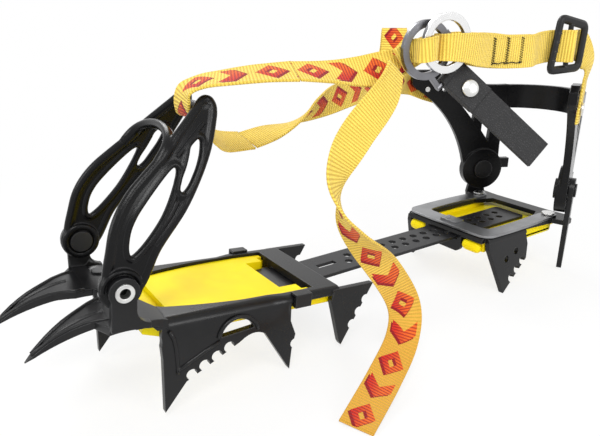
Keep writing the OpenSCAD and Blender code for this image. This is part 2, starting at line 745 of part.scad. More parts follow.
// From the far run under and round the bar of the toe cage to the near run
module strap_toe_loop() {
    x = toe_top[0];
    z = toe_top[2];
    level = [0, 1, 0];
    ribbon([mid_far, rp([-35, 20, 77.5], [0.2, 0.88, 0.4]), rp([-47, 12, 84], [0.2, 0.95, 0.25]),
        rp([-55, 4, 91.5], [0.1, 1, 0.1]),
        rp([x - 0.5, -1, z - loop_d - 1.3], level, 0.95), rp([x - loop_d - 1.6, -2.2, z - 3], level, 0.95),
        rp([x - loop_d - 2.8, -2.8, z + 3], level, 0.95), rp([x - loop_d - 1, -4.5, z + 9], level, 0.97),
        rp([-58.5, -8.5, 113.6], [0, 0.99, 0.1]), rp([-48, -15, 115.5], [0, 0.97, 0.2]),
        rp([-34, -21.5, 117], [0, 0.95, 0.3]), mid_near]);
}

// From the near run through both rings and back over the silver one
module strap_near_run() {
    k = 0.66;
    ribbon([mid_near + joint_gap, rp([0, -30.5, 116.5], [0, 0.86, 0.5]), rp([14, -33.5, 116], [0, 0.7, 0.7]),
        rp([26, -36, 116.8], [0, 0.5, 0.87]),
        rp(at_ring(-12, -5.8, -6), up, 0.8), rp(at_ring(-4, -5.6, -2.5), up, 0.7),
        rp(at_ring(1.4, -3, 1), up, k), rp(at_ring(2, 2, 1.4), up, k), rp(at_ring(1.2, 7, 1.4), up, k),
        rp(at_ring(-4.2, 8.2, 0.6), up, k), rp(at_ring(-7.2, 5.5, 0), up, k),
        rp(at_ring(-7.2, 0.8, 0), up, k), rp(at_ring(-9, -2.7, -1), up, 0.62),
        rp(at_ring(-14.5, -2.5, -5), [-0.25, 0.1, 0.95], 0.75)], 4);
}

// Free end that hangs from the rings to the ground
module strap_tail() {
    ribbon([rp(at_ring(-17.2, -1.2, -8.4), [-0.3, 0.1, 0.95], 0.77), rp([24, -46, 105.5], [-0.35, 0.15, 0.9]),
        rp([2, -50, 88], [-0.45, 0.4, 0.75]), rp([-11, -53, 72], [-0.87, -0.2, 0.35]),
        rp([-11, -55, 56], [-0.6, -0.75, 0.3]), rp([-4, -57, 40], [0.05, -0.95, 0.3]),
        rp([15, -61, 17], [0.6, -0.5, 0.6]), rp([26, -66, -5], [0.8, -0.55, 0.2]),
        rp([20, -72, -21], [0.75, -0.6, -0.2]), rp([0, -81, -32], [0.66, -0.7, -0.2]),
        rp([-30, -95, -39.4], [0.55, -0.83, -0.05])]);
}

// A point on the outside of the near wing, x along its turned wall
function wing_skin(x, z) = let (o = heel_cage_t / 2 + 0.5 + strap_t / 2)
    [heel_pivot[0] + x * cos(heel_turn) + o * sin(heel_turn),
    -heel_pivot[1] + x * sin(heel_turn) - o * cos(heel_turn), z];
function far_side(p) = [p[0], -p[1], p[2]];
wing_w = [cos(heel_turn), sin(heel_turn), 0];

// Sewn strap that holds both rings, passes the slide and ends on the near wing
module strap_short() {
    s = slide_t0;
    k = 0.74;
    ribbon([rp(at_ring(72, -1.2, -2), up), rp(at_ring(50, -1.2, -2), up),
        rp(at_ring(33, -2.2, -0.4), up, 0.97), rp(at_ring(24, -4.1, 1.6), up, 0.8),
        rp(at_ring(17, -4.6, 1.8), up, k),
        rp(at_ring(9, -3.4, 1.5), up, k), rp(at_ring(5.8, -1, 1.4), up, k), rp(at_ring(5.3, 2, 1.4), up, k),
        rp(at_ring(6, 6, 1.4), up, k), rp(at_ring(10, 8.2, 1.5), up, 0.76),
        rp(at_ring(20, 8, 1), up, 0.82), rp(at_ring(29, 6.4, 0), up, 0.95), rp(at_ring(42, 2, -1), up),
        rp(at_ring(54, 1.1, -2), up), rp(at_ring(72, 1.1, -2), up), rp(at_ring(s - 7, -2.4, -1), up),
        rp(at_ring(s + 3, -2.7, 0), up), rp(at_ring(s + 13, 4.4, 0), up), rp(at_ring(s + 23, -2.7, 0), up),
        rp(at_ring(s + 29, -3.4, -1), [0.2, 0.05, 1]), rp(wing_skin(-45.5, 115), [0.6, 0.2, 0.7]),
        rp(wing_skin(-46.5, 104), [0.85, 0.4, 0.3]), rp(wing_skin(-50, 96), wing_w),
        rp(wing_skin(-52, 88), wing_w), rp(wing_skin(-53, 79), wing_w)], 3);
}

// From the far run along the outside of the far wing
module strap_far_run() {
    ribbon([mid_far + 3 * joint_gap, rp([0, 27, 77.5], [0, 0.97, 0.25]),
        rp([20, 30.5, 81.5], [0, 0.95, -0.3]), rp([38, 34, 87], [0, 0.5, -0.87]),
        rp([60, 39, 92], [0, -0.17, -0.98]), rp([84, 44.5, 95], [0, -0.2, -1]), rp([111, 54, 96], -up),
        rp([134, 65, 95], -up), rp(far_side(wing_skin(-66, 92.5)) + [-0.5, 1.2, 0], -up),
        rp(far_side(wing_skin(-60, 91)), -up), rp(far_side(wing_skin(-52, 88)), -up),
        rp(far_side(wing_skin(-42, 85)), -up)]);
}

// Upright loop round the far run, turned towards the rings above it
module strap_keeper() {
    flat = [0.9, 0.43, 0];
    turned = [0.83, -0.56, 0];
    half = [0.95, -0.1, 0];
    ribbon([rp([122.9, 57, 84], flat), rp([122.9, 57, 105], flat), rp([122, 55.5, 112], half),
        rp([121.3, 54, 120], turned), rp([121.6, 54, 130], turned), rp([122.9, 55.8, 134], turned),
        rp([124.2, 57.8, 130], turned), rp([124.4, 58.8, 120], turned), rp([122.7, 60.3, 112], half),
        rp([121.1, 61.3, 105], flat), rp([121.1, 61.3, 84], flat)]);
}

front_frame();
front_snow_plate();
snow_plate_clips();
front_plate_rivet();
toe_rivets();
toe_cage();
linking_bar();
heel_frame();
heel_snow_plate();
lock_plate();
lock_peg();
lock_rivets();
heel_cage();
heel_pivots();
strap_rivets();
ring_dark();
ring_silver();
pull_tab();
tab_rivet();
strap_slide();
strap_toe_loop();
strap_near_run();
strap_far_run();
strap_tail();
strap_short();
strap_keeper();
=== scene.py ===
"""Looks of a strap-on mountaineering crampon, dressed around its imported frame."""

import logging
import math
from dataclasses import dataclass, field
from enum import Enum
from typing import Any, Sequence, Union

import bmesh
import bpy
from mathutils import Matrix, Vector


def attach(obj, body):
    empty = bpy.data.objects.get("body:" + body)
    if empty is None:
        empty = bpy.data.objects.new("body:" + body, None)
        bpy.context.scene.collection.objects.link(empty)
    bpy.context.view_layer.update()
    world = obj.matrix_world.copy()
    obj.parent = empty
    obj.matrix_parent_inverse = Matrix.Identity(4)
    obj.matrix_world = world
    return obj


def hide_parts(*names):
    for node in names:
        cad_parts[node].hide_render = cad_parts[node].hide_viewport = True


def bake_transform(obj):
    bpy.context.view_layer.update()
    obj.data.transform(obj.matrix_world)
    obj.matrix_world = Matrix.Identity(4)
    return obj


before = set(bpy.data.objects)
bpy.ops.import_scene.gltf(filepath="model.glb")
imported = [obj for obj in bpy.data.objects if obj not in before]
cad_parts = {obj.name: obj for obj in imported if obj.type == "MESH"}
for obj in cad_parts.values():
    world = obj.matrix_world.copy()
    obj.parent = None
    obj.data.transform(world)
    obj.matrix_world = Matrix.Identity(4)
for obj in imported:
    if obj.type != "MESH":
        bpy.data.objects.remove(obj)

LOG = logging.getLogger("crampon")
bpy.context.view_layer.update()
MM = 0.001
FLOOR_Z = -0.0410
UP = (0.0, 0.0, 1.0)
WHITE = (1.0, 1.0, 1.0)
BAND_WIDE = 18.0
BAND_THICK = 1.5
PLATE_PITCH = math.radians(6.2)
TOE_PIVOT = (-113.91, 31.99)

Colour = tuple[float, float, float]
Value = Union["Sock", float]


class Side(Enum):
    """Which face of the webbing carries the woven pattern."""

    UPPER = 1.0
    LOWER = -1.0


def srgb(red: int, green: int, blue: int) -> Colour:
    """Turn an eight-bit screen colour into a linear one.

    Args:
        red: red, 0 to 255.
        green: green, 0 to 255.
        blue: blue, 0 to 255.

    Returns:
        The colour in linear light.
    """
    def linear(level: int) -> float:
        """Linear value of one channel."""
        c = level / 255
        return c / 12.92 if c <= 0.04045 else ((c + 0.055) / 1.055) ** 2.4

    return linear(red), linear(green), linear(blue)


class Sock:
    """A shader socket that answers to Python's arithmetic."""

    def __init__(self, graph: "Graph", socket: bpy.types.NodeSocket) -> None:
        """Wrap an output socket of a graph."""
        self.graph = graph
        self.socket = socket

    def maths(self, operation: str, *others: Value) -> "Sock":
        """Add a Math node.

        Args:
            operation: the node's operation.
            others: the operands after this one.

        Returns:
            The node's result.
        """
        return self.graph.node("ShaderNodeMath", {"operation": operation}, [self, *others])

    def __add__(self, other: Value) -> "Sock":
        """Sum."""
        return self.maths("ADD", other)

    __radd__ = __add__

    def __sub__(self, other: Value) -> "Sock":
        """Difference."""
        return self.maths("SUBTRACT", other)

    def __rsub__(self, other: float) -> "Sock":
        """Difference from a number."""
        return self.graph.node("ShaderNodeMath", {"operation": "SUBTRACT"}, [other, self])

    def __mul__(self, other: Value) -> "Sock":
        """Product."""
        return self.maths("MULTIPLY", other)

    __rmul__ = __mul__

    def __lt__(self, other: Value) -> "Sock":
        """One where this is less than the other."""
        return self.maths("LESS_THAN", other)

    def __gt__(self, other: Value) -> "Sock":
        """One where this is greater than the other."""
        return self.maths("GREATER_THAN", other)

    def __abs__(self) -> "Sock":
        """Size without sign."""
        return self.maths("ABSOLUTE")

    def wave(self) -> "Sock":
        """Sine of this value in radians."""
        return self.maths("SINE")

    def fraction(self) -> "Sock":
        """Part after the decimal point."""
        return self.maths("FRACT")

    def between(self, low: float, high: float) -> "Sock":
        """Soft step from zero at low to one at high."""
        sockets = {"Value": self, "From Min": low, "From Max": high}
        return self.graph.node("ShaderNodeMapRange", {"interpolation_type": "SMOOTHSTEP"}, sockets)


class Graph:
    """A material that ends in one Principled shader."""

    def __init__(self, name: str) -> None:
        """Start a material with a Principled shader on its surface.

        Args:
            name: name of the material.
        """
        self.material = bpy.data.materials.new(name)
        self.material.use_nodes = True
        self.tree = self.material.node_tree
        self.tree.nodes.clear()
        self.shader = self.add("ShaderNodeBsdfPrincipled")
        self.output = self.add("ShaderNodeOutputMaterial")
        self.surface(self.principled())

    @classmethod
    def of(cls, tree: bpy.types.NodeTree) -> "Graph":
        """Start on a tree that exists, such as the world's.

        Args:
            tree: the tree, which is emptied.

        Returns:
            A graph with no nodes.
        """
        graph = cls.__new__(cls)
        graph.tree = tree
        tree.nodes.clear()
        return graph

    def principled(self) -> Sock:
        """The output of the Principled shader."""
        return Sock(self, self.shader.outputs["BSDF"])

    def surface(self, shader: Sock) -> None:
        """Show a shader on the material's surface."""
        self.tree.links.new(shader.socket, self.output.inputs["Surface"])

    def add(self, kind: str, settings: dict[str, Any] | None = None,
            sockets: dict[Any, Any] | Sequence[Any] | None = None) -> bpy.types.Node:
        """Add a node.

        Args:
            kind: the node's type.
            settings: its properties, which are set first.
            sockets: values or links of its inputs, by name or in order.

        Returns:
            The node.
        """
        node = self.tree.nodes.new(kind)
        for key, value in (settings or {}).items():
            setattr(node, key, value)
        pairs = sockets.items() if isinstance(sockets, dict) else enumerate(sockets or ())
        for key, value in pairs:
            self.feed(node.inputs[key], value)
        return node

    def node(self, kind: str, settings: dict[str, Any] | None = None,
             sockets: dict[Any, Any] | Sequence[Any] | None = None, out: str | int = 0) -> Sock:
        """Add a node and give one of its outputs, by name or place."""
        return Sock(self, self.add(kind, settings, sockets).outputs[out])

    def feed(self, socket: bpy.types.NodeSocket, value: Any) -> None:
        """Link a socket or set its value.

        Args:
            socket: an input of a node.
            value: a Sock to link, or a number, colour or vector to set.
        """
        if isinstance(value, Sock):
            self.tree.links.new(value.socket, socket)
        elif isinstance(value, tuple) and socket.type == "RGBA":
            socket.default_value = (*value[:3], 1.0)
        else:
            socket.default_value = value

    def set(self, **values: Any) -> None:
        """Set inputs of the Principled shader; underscores stand for spaces."""
        for key, value in values.items():
            self.feed(self.shader.inputs[key.replace("_", " ")], value)

    def place(self, scale: Sequence[float] = (1, 1, 1)) -> Sock:
        """Object coordinates, scaled."""
        where = self.node("ShaderNodeTexCoord", out="Object")
        return self.node("ShaderNodeMapping", None, {"Vector": where, "Scale": tuple(scale)})

    def noise(self, scale: float, detail: float = 3.0, where: Sock | None = None) -> Sock:
        """Grey noise on object coordinates, centred on a half."""
        return self.node("ShaderNodeTexNoise", None, {
            "Vector": where or self.place(), "Scale": scale, "Detail": detail})

    def mix(self, factor: Value, first: Any, second: Any) -> Sock:
        """Mix two colours."""
        return self.node("ShaderNodeMix", {"data_type": "RGBA"}, {0: factor, 6: first, 7: second}, 2)

    def bump(self, height: Sock, distance: float, edge: float = 0.0) -> None:
        """Drive the shader's normal.

        Args:
            height: relief, from zero to one.
            distance: what a height of one stands for, in metres.
            edge: radius at which sharp edges look broken, in metres.
        """
        sockets: dict[str, Any] = {"Height": height, "Distance": distance, "Strength": 1.0}
        if edge:
            sockets["Normal"] = self.node("ShaderNodeBevel", {"samples": 6}, {"Radius": edge})
        self.set(Normal=self.node("ShaderNodeBump", None, sockets))

    def edges(self, radius: float) -> Sock:
        """Mask of sharp edges.

        Args:
            radius: how far from an edge it reaches, in metres.

        Returns:
            Zero on the flats, rising towards an edge.
        """
        rounded = self.node("ShaderNodeBevel", {"samples": 8}, {"Radius": radius})
        flat = self.node("ShaderNodeNewGeometry", out="Normal")
        return 1.0 - self.node(
            "ShaderNodeVectorMath", {"operation": "DOT_PRODUCT"}, [rounded, flat], "Value")

    def backdrop(self) -> Sock:
        """Mask of the rays that look at the backdrop.

        Returns:
            One for a ray from the camera, a gloss or a glass.
        """
        seen = self.node("ShaderNodeLightPath", out="Is Camera Ray")
        for name in ("Is Glossy Ray", "Is Transmission Ray"):
            seen = seen.maths("MAXIMUM", self.node("ShaderNodeLightPath", out=name))
        return seen

    def part(self, vector: Sock, place: int) -> Sock:
        """One number of a vector: 0 for x, 1 for y, 2 for z."""
        return self.node("ShaderNodeSeparateXYZ", None, [vector], place)


@dataclass(frozen=True)
class Finish:
    """A surface finish of the object."""

    name: str
    colour: Colour

    def material(self) -> bpy.types.Material:
        """Make the finish once and give it again after that.

        Returns:
            The material of that name.
        """
        found = bpy.data.materials.get(self.name)
        if found is None:
            graph = Graph(self.name)
            self.dress(graph)
            found = graph.material
        return found

    def toned(self, factor: float, lift: float = 0.0) -> Colour:
        """The colour made lighter or darker."""
        return tuple(min(1.0, c * factor + lift) for c in self.colour)

    def dress(self, graph: Graph) -> None:
        """Fill the graph with this finish."""
        graph.set(Base_Color=self.colour)


@dataclass(frozen=True)
class PaintedSteel(Finish):
    """Satin paint on pressed steel, rubbed a little on its high spots, its edges paler as partly wear and
    partly painted highlight.
    """

    bare_and_edge_highlight: Colour = srgb(120, 120, 122)
    rub: float = 0.25
    edge: float = 0.0009
    gloss: float = 0.27
    rough: float = 0.2
    edge_wear_and_highlight_reach: float = 0.0007
    peel_depth: float = 0.00003

    def dress(self, graph: Graph) -> None:
        """Paint with orange peel, dust, fine rubs and paler edges, partly wear and partly painted
        highlight.

        Args:
            graph: the material that is filled.
        """
        peel = graph.noise(900.0, 2.0)
        cloud = graph.noise(38.0, 4.0)
        scratch = graph.noise(60.0, 5.0, graph.place((1.0, 7.0, 3.0)))
        rub = scratch.between(0.66, 0.78) * cloud.between(0.45, 0.7) * self.rub
        dust = graph.mix(cloud.between(0.3, 0.75), self.colour, self.toned(1.6, 0.001))
        # Paler edges: partly wear, partly a painted highlight along the edges, mixed towards the bare
        # grey below.
        worn = graph.edges(self.edge_wear_and_highlight_reach).between(0.03, 0.3) * (0.25 + cloud * 0.5)
        graph.set(Base_Color=graph.mix(rub.maths("MAXIMUM", worn * 0.55), dust, self.bare_and_edge_highlight),
                  Roughness=self.rough + cloud * 0.18, Metallic=rub)
        graph.set(Specular_IOR_Level=self.gloss)
        graph.bump(peel, self.peel_depth, self.edge)


@dataclass(frozen=True)
class MouldedPlastic(Finish):
    """Moulded plastic with a fine spark-eroded grain."""

    rough: float = 0.38
    grain: float = 0.00005
    edge: float = 0.0008
    gloss: float = 0.3
    # Amount of paler rims: partly wear, partly painted highlight along the edges.
    worn: float = 0.0
    edge_wear_and_highlight_reach: float = 0.0009
    bare_and_edge_highlight: Colour = srgb(96, 96, 98)

    def dress(self, graph: Graph) -> None:
        """Grain, faint flow marks, handling shine and paler rims, which are partly wear and partly
        painted highlight.

        Args:
            graph: the material that is filled.
        """
        grain = graph.noise(2600.0, 2.0)
        flow = graph.noise(24.0, 3.0, graph.place((1.0, 1.0, 2.5)))
        base = graph.mix(flow.between(0.35, 0.75), self.colour, self.toned(1.25, 0.001))
        if self.worn:
            # Paler rims: partly wear, partly a painted highlight along the edges.
            rim = graph.edges(self.edge_wear_and_highlight_reach).between(0.03, 0.3) * self.worn
            base = graph.mix(rim, base, self.bare_and_edge_highlight)
        graph.set(Base_Color=base, Roughness=self.rough - 0.08 + flow * 0.16)
        graph.set(Specular_IOR_Level=self.gloss)
        graph.bump(grain, self.grain, self.edge)


@dataclass(frozen=True)
class BareSteel(Finish):
    """Bare or plated steel with brushed lines."""

    rough: float = 0.3
    brush: tuple[float, float, float] = (1.0, 1.0, 1.0)
    darker: float = 0.75
    relief: float = 0.000008
    edge: float = 0.0005

    def dress(self, graph: Graph) -> None:
        """Brushed lines, stains and small dents.

        Args:
            graph: the material that is filled.
        """
        lines = graph.noise(420.0, 3.0, graph.place(self.brush))
        stain = graph.noise(55.0, 4.0)
        graph.set(Base_Color=graph.mix(stain.between(0.35, 0.75), self.colour, self.toned(self.darker)),
                  Roughness=self.rough - 0.08 + lines * 0.1 + stain * 0.1)
        graph.set(Metallic=1.0)
        graph.bump(lines + stain * 0.4, self.relief, self.edge)


@dataclass(frozen=True)
class CappedRivet(BareSteel):
    """Bright tubular rivet on the near side, its head under a black cap on the far side."""

    cap: Colour = srgb(20, 20, 21)
    bright_from: float = -0.0365
    dent: float = 0.00003

    def dress(self, graph: Graph) -> None:
        """Bright end by the near ear, black inside the cage and on the far side.

        Args:
            graph: the material that is filled.
        """
        bright = graph.part(graph.place(), 1) < self.bright_from
        stain = graph.noise(160.0, 3.0)
        worn = graph.mix(stain.between(0.35, 0.75), self.colour, self.toned(self.darker))
        graph.set(Base_Color=graph.mix(bright, self.cap, worn), Metallic=bright,
                  Roughness=0.3 + stain * 0.12)
        graph.bump(stain, self.dent, self.edge)


@dataclass(frozen=True)
class GrainedSheet(Finish):
    """Black sheet with a pebbled grain, as on the pull tab."""

    pebbles: float = 900.0
    relief: float = 0.00012
    edge: float = 0.0005

    def dress(self, graph: Graph) -> None:
        """Pebbles from cells, with lighter rubbed tops.

        Args:
            graph: the material that is filled.
        """
        cells = graph.node("ShaderNodeTexVoronoi", {"feature": "DISTANCE_TO_EDGE"},
                           {"Vector": graph.place(), "Scale": self.pebbles})
        cloud = graph.noise(45.0, 3.0)
        top = cells.between(0.02, 0.3)
        graph.set(Base_Color=graph.mix(top * cloud, self.colour, self.toned(1.9, 0.006)),
                  Roughness=0.62 - top * 0.14)
        graph.set(Specular_IOR_Level=0.3)
        graph.bump(top, self.relief, self.edge)


@dataclass(frozen=True)
class PaleFloor(Finish):
    """Pale floor that keeps a faint shadow near the object and is plain white further off."""

    glow: float = 0.8
    fade: tuple[float, float] = (0.15, 0.5)

    def dress(self, graph: Graph) -> None:
        """A matt ground, with white laid over it for rays that look at the backdrop.

        Args:
            graph: the material that is filled.
        """
        graph.set(Base_Color=self.colour, Roughness=0.9, Specular_IOR_Level=0.1)
        reach = graph.node("ShaderNodeVectorMath", {"operation": "LENGTH"}, [graph.place()], "Value")
        share = graph.backdrop() * (self.glow + reach.between(*self.fade) * (1.0 - self.glow))
        white = graph.node("ShaderNodeEmission", None, {"Color": WHITE})
        graph.surface(graph.node("ShaderNodeMixShader", None, [share, graph.principled(), white]))


@dataclass(frozen=True)
class Webbing(Finish):
    """Ribbed webbing with a row of woven lozenges and arrowheads on one face."""

    thread: Colour = srgb(240, 112, 40)
    second: Colour = srgb(212, 48, 30)
    shade: Colour = srgb(140, 22, 30)
    # Painted shade: a deeper orange laid along the later part of the run, the lower end of the hanging
    # tail.
    painted_end_shade_colour: Colour = srgb(219, 154, 56)
    painted_end_shade: float = 0.0
    painted_end_shade_run: tuple[float, float] = (0.07, 0.19)
    # Painted shade: factor for the colour in the rib valleys.
    valley_shade: Colour = (0.60, 0.50, 0.30)
    rib: float = 0.0016
    warp: float = 0.0011
    selvedge: float = 0.0083
    plain_below: float = -0.05
    repeat: float = 0.036
    pick: float = 0.0008
    pick_step: float = 0.0006
    cast: float = 0.0015
    figure: float = 0.0066
    eye: float = 0.0026
    stroke: float = 0.0034
    lozenge_at: float = -0.0095
    arrow_at: float = 0.0105
    relief: float = 0.0002

    def dress(self, graph: Graph) -> None:
        """Ribs across the band, two selvedges, and the woven row, with painted shade in the rib valleys
        and along the selvedges.

        Args:
            graph: the material that is filled.
        """
        uv = graph.node("ShaderNodeUVMap", {"uv_map": "weave"})
        run, across = graph.part(uv, 0), graph.part(uv, 1)
        rib = (run * (2 * math.pi / self.rib)).wave()
        warp = (across * (2 * math.pi / self.warp)).wave()
        fuzz = graph.noise(2400.0, 3.0)
        cloud = graph.noise(60.0, 3.0)
        ground = graph.mix(cloud.between(0.3, 0.7), self.colour, self.toned(1.1))
        # Painted shade: deeper orange towards the lower end of the tail.
        if self.painted_end_shade:
            ground = graph.mix(run.between(*self.painted_end_shade_run) * self.painted_end_shade, ground, self.painted_end_shade_colour)
        painted_valley_shade = tuple(c * f for c, f in zip(self.colour, self.valley_shade))
        low = 0.5 - rib * 0.5
        shown = across > self.plain_below
        stepped = run + (run * (1 / self.pick)).fraction() * self.pick_step
        lead = self.row(stepped, across, 0.0)
        dark = self.row(stepped, across, self.cast)
        tint = graph.mix((across + cloud * 0.006).between(-0.003, 0.007), self.second, self.thread)
        coloured = graph.mix(lead * shown, graph.mix(dark * shown, ground, self.shade), tint)
        edge = (abs(across) > self.selvedge) * shown
        # Painted shade: the rib valleys and the selvedge grooves are darkened in the colour; the fuzz
        # adds a little random tone.
        sunk = (low * low * 0.75 + fuzz * 0.2).maths("MAXIMUM", edge * 0.3)
        painted_valley_shade_colour = graph.mix(lead.maths("MAXIMUM", dark) * shown, painted_valley_shade, self.shade)
        graph.set(Base_Color=graph.mix(sunk, coloured, painted_valley_shade_colour), Roughness=0.78 + fuzz * 0.12)
        graph.set(Sheen_Weight=0.2, Sheen_Roughness=0.5, Specular_IOR_Level=0.2)
        graph.bump(rib * 0.7 + warp * 0.15 + fuzz * 0.4, self.relief)

    def row(self, run: Sock, across: Sock, drop: float) -> Sock:
        """Mask of the woven row, shifted for its shaded side.

        Args:
            run: place along the band.
            across: place across the band.
            drop: shift of the figure in metres.

        Returns:
            One inside a figure.
        """
        beat = (((run - drop) * (1 / self.repeat)).fraction() - 0.5) * self.repeat
        high = abs(across + drop * 0.6)
        far = abs(beat - self.lozenge_at) * 0.85 + high
        lozenge = (far < self.figure) * (far > self.eye)
        tip = beat - self.arrow_at + high * 0.9
        arrow = (abs(tip) < self.stroke) * (high < self.figure)
        return lozenge.maths("MAXIMUM", arrow)


class Palette:
    """The finishes of the object."""

    steel = PaintedSteel("painted_black_steel", srgb(17, 17, 18))
    bar = PaintedSteel("painted_black_bar", srgb(24, 24, 26), rub=0.35)
    cage = MouldedPlastic(
        "moulded_black_cage", srgb(13, 13, 14), rough=0.2, edge=0.0012, gloss=0.17, worn=0.25)
    clip = MouldedPlastic("moulded_black_clip", srgb(20, 20, 21), rough=0.32, worn=0.4)
    snow = MouldedPlastic(
        "moulded_yellow_plate", srgb(250, 218, 4), rough=0.45, grain=0.00004, gloss=0.16)
    rivet = BareSteel("bright_rivet_steel", srgb(226, 226, 224), rough=0.24)
    capped = CappedRivet("bright_tube_rivet", srgb(226, 226, 224))
    spring = BareSteel("grey_spring_steel", srgb(150, 151, 153), rough=0.32, brush=(1.0, 9.0, 1.0))
    dark_ring = BareSteel("dark_ring_steel", srgb(128, 128, 132), rough=0.3)
    bright_ring = BareSteel("bright_ring_steel", srgb(236, 236, 236), rough=0.2, darker=0.9)
    tab = GrainedSheet("grained_black_tab", srgb(33, 33, 34))
    webbing = Webbing("yellow_webbing", srgb(246, 216, 98))
    # Webbing of the tail, with painted shade deepening towards its lower end.
    webbing_painted_end_shade = Webbing("yellow_webbing_painted_end_shade", srgb(246, 216, 98), painted_end_shade=0.9)
    thread = MouldedPlastic("dark_sewing_thread", srgb(30, 26, 22), rough=0.7, edge=0.0)
    floor = PaleFloor("pale_floor", (0.9, 0.9, 0.9))


def in_order(bm: bmesh.types.BMesh) -> None:
    """Put edges and faces in the order of their vertices, so that each run gives the same mesh.

    Args:
        bm: the finished mesh.
    """
    bm.verts.index_update()
    count = len(bm.verts)

    def rank(part: bmesh.types.BMEdge | bmesh.types.BMFace) -> float:
        """Place of an edge or face in the order, from the places of its vertices."""
        marks = [v.index for v in part.verts]
        return min(marks) * count + max(marks) + sum(marks) / (len(marks) * count)

    bm.edges.sort(key=rank)
    bm.faces.sort(key=rank)


def link(name: str, bm: bmesh.types.BMesh, finish: Finish, smooth: bool = True) -> bpy.types.Object:
    """Turn a bmesh into an object of the scene.

    Args:
        name: name of the piece.
        bm: its mesh, which is freed.
        finish: what it is dressed in.
        smooth: whether its faces are smooth.

    Returns:
        The new object.
    """
    in_order(bm)
    mesh = bpy.data.meshes.new(name)
    bm.to_mesh(mesh)
    bm.free()
    mesh.materials.append(finish.material())
    mesh.polygons.foreach_set("use_smooth", [smooth] * len(mesh.polygons))
    piece = bpy.data.objects.new(name, mesh)
    bpy.context.scene.collection.objects.link(piece)
    return piece


def curve(a: Any, b: Any, c: Any, d: Any, t: float) -> Any:
    """Smooth curve through numbers or points.

    Args:
        a: the one before the stretch.
        b: start of the stretch.
        c: end of the stretch.
        d: the one after it.
        t: place along the stretch, zero to one.

    Returns:
        The value there.
    """
    return (2 * b + (c - a) * t + (2 * a - 5 * b + 4 * c - d) * t * t
            + (3 * b - a - 3 * c + d) * t ** 3) / 2


def placed(side: Vector, over: Vector, along: Vector, at: Vector) -> Matrix:
    """Matrix that carries a section drawn on x and y to its place."""
    columns = (side, over, along, at)
    return Matrix([[c[r] for c in columns] for r in range(3)] + [[0, 0, 0, 1]])


def grow(bm: bmesh.types.BMesh, edges: list[bmesh.types.BMEdge],
         carry: Matrix) -> tuple[list[bmesh.types.BMVert], list[bmesh.types.BMEdge]]:
    """Extrude a ring of edges and carry the new ring to the next section.

    Args:
        bm: the mesh.
        edges: the ring that was made last.
        carry: from its place to the next.

    Returns:
        Vertices and edges of the new ring.
    """
    grown = bmesh.ops.extrude_edge_only(bm, edges=edges)["geom"]
    verts = [g for g in grown if isinstance(g, bmesh.types.BMVert)]
    bmesh.ops.transform(bm, matrix=carry, verts=verts)
    return verts, [g for g in grown if isinstance(g, bmesh.types.BMEdge)]


@dataclass(frozen=True)
class Stop:
    """A point on the route of a strap."""

    at: Vector
    across: Vector
    width: float


@dataclass(frozen=True)
class Station:
    """A section of a swept strap: its place and its distance along."""

    matrix: Matrix
    run: float


class Rings:
    """The closure: two rings, the pull tab and the slide on the short strap."""

    centre = Vector((50.0, -46.0, 126.0))
    turn = math.radians(9.0)
    slide_start = 88.0

    @classmethod
    def point(cls, along: float, out: float, up: float) -> Vector:
        """A point given along the strap, outward and up from the dark ring, in millimetres."""
        c, s = math.cos(cls.turn), math.sin(cls.turn)
        return cls.centre + Vector((along * c - out * s, -along * s - out * c, up))

    @classmethod
    def outward(cls) -> Vector:
        """Direction out of the face of the short strap."""
        return (cls.point(0, 1, 0) - cls.point(0, 0, 0)).normalized()


class Wing:
    """The turned flat sides of the heel cage."""

    turn = math.radians(26.0)
    thick = 5.0
    skin = 0.5
    ear = (211.5, 36.0, 15.0)
    pivot = Vector((ear[0] + ear[1] * math.sin(turn) - ear[2] * math.cos(turn),
                    ear[1] * math.cos(turn) + ear[2] * math.sin(turn), 0.0))

    @classmethod
    def point(cls, x: float, z: float, far: bool = False) -> Vector:
        """Middle of a band that lies on the outside of a wing, in millimetres.

        Args:
            x: place along the wing, from its pivot.
            z: height.
            far: whether it is the far wing.

        Returns:
            The point in the object's frame.
        """
        off = cls.thick / 2 + cls.skin + BAND_THICK / 2
        place = Vector((cls.pivot.x + x * math.cos(cls.turn) + off * math.sin(cls.turn),
                        -cls.pivot.y + x * math.sin(cls.turn) - off * math.cos(cls.turn), z))
        if far:
            place.y = -place.y
        return place


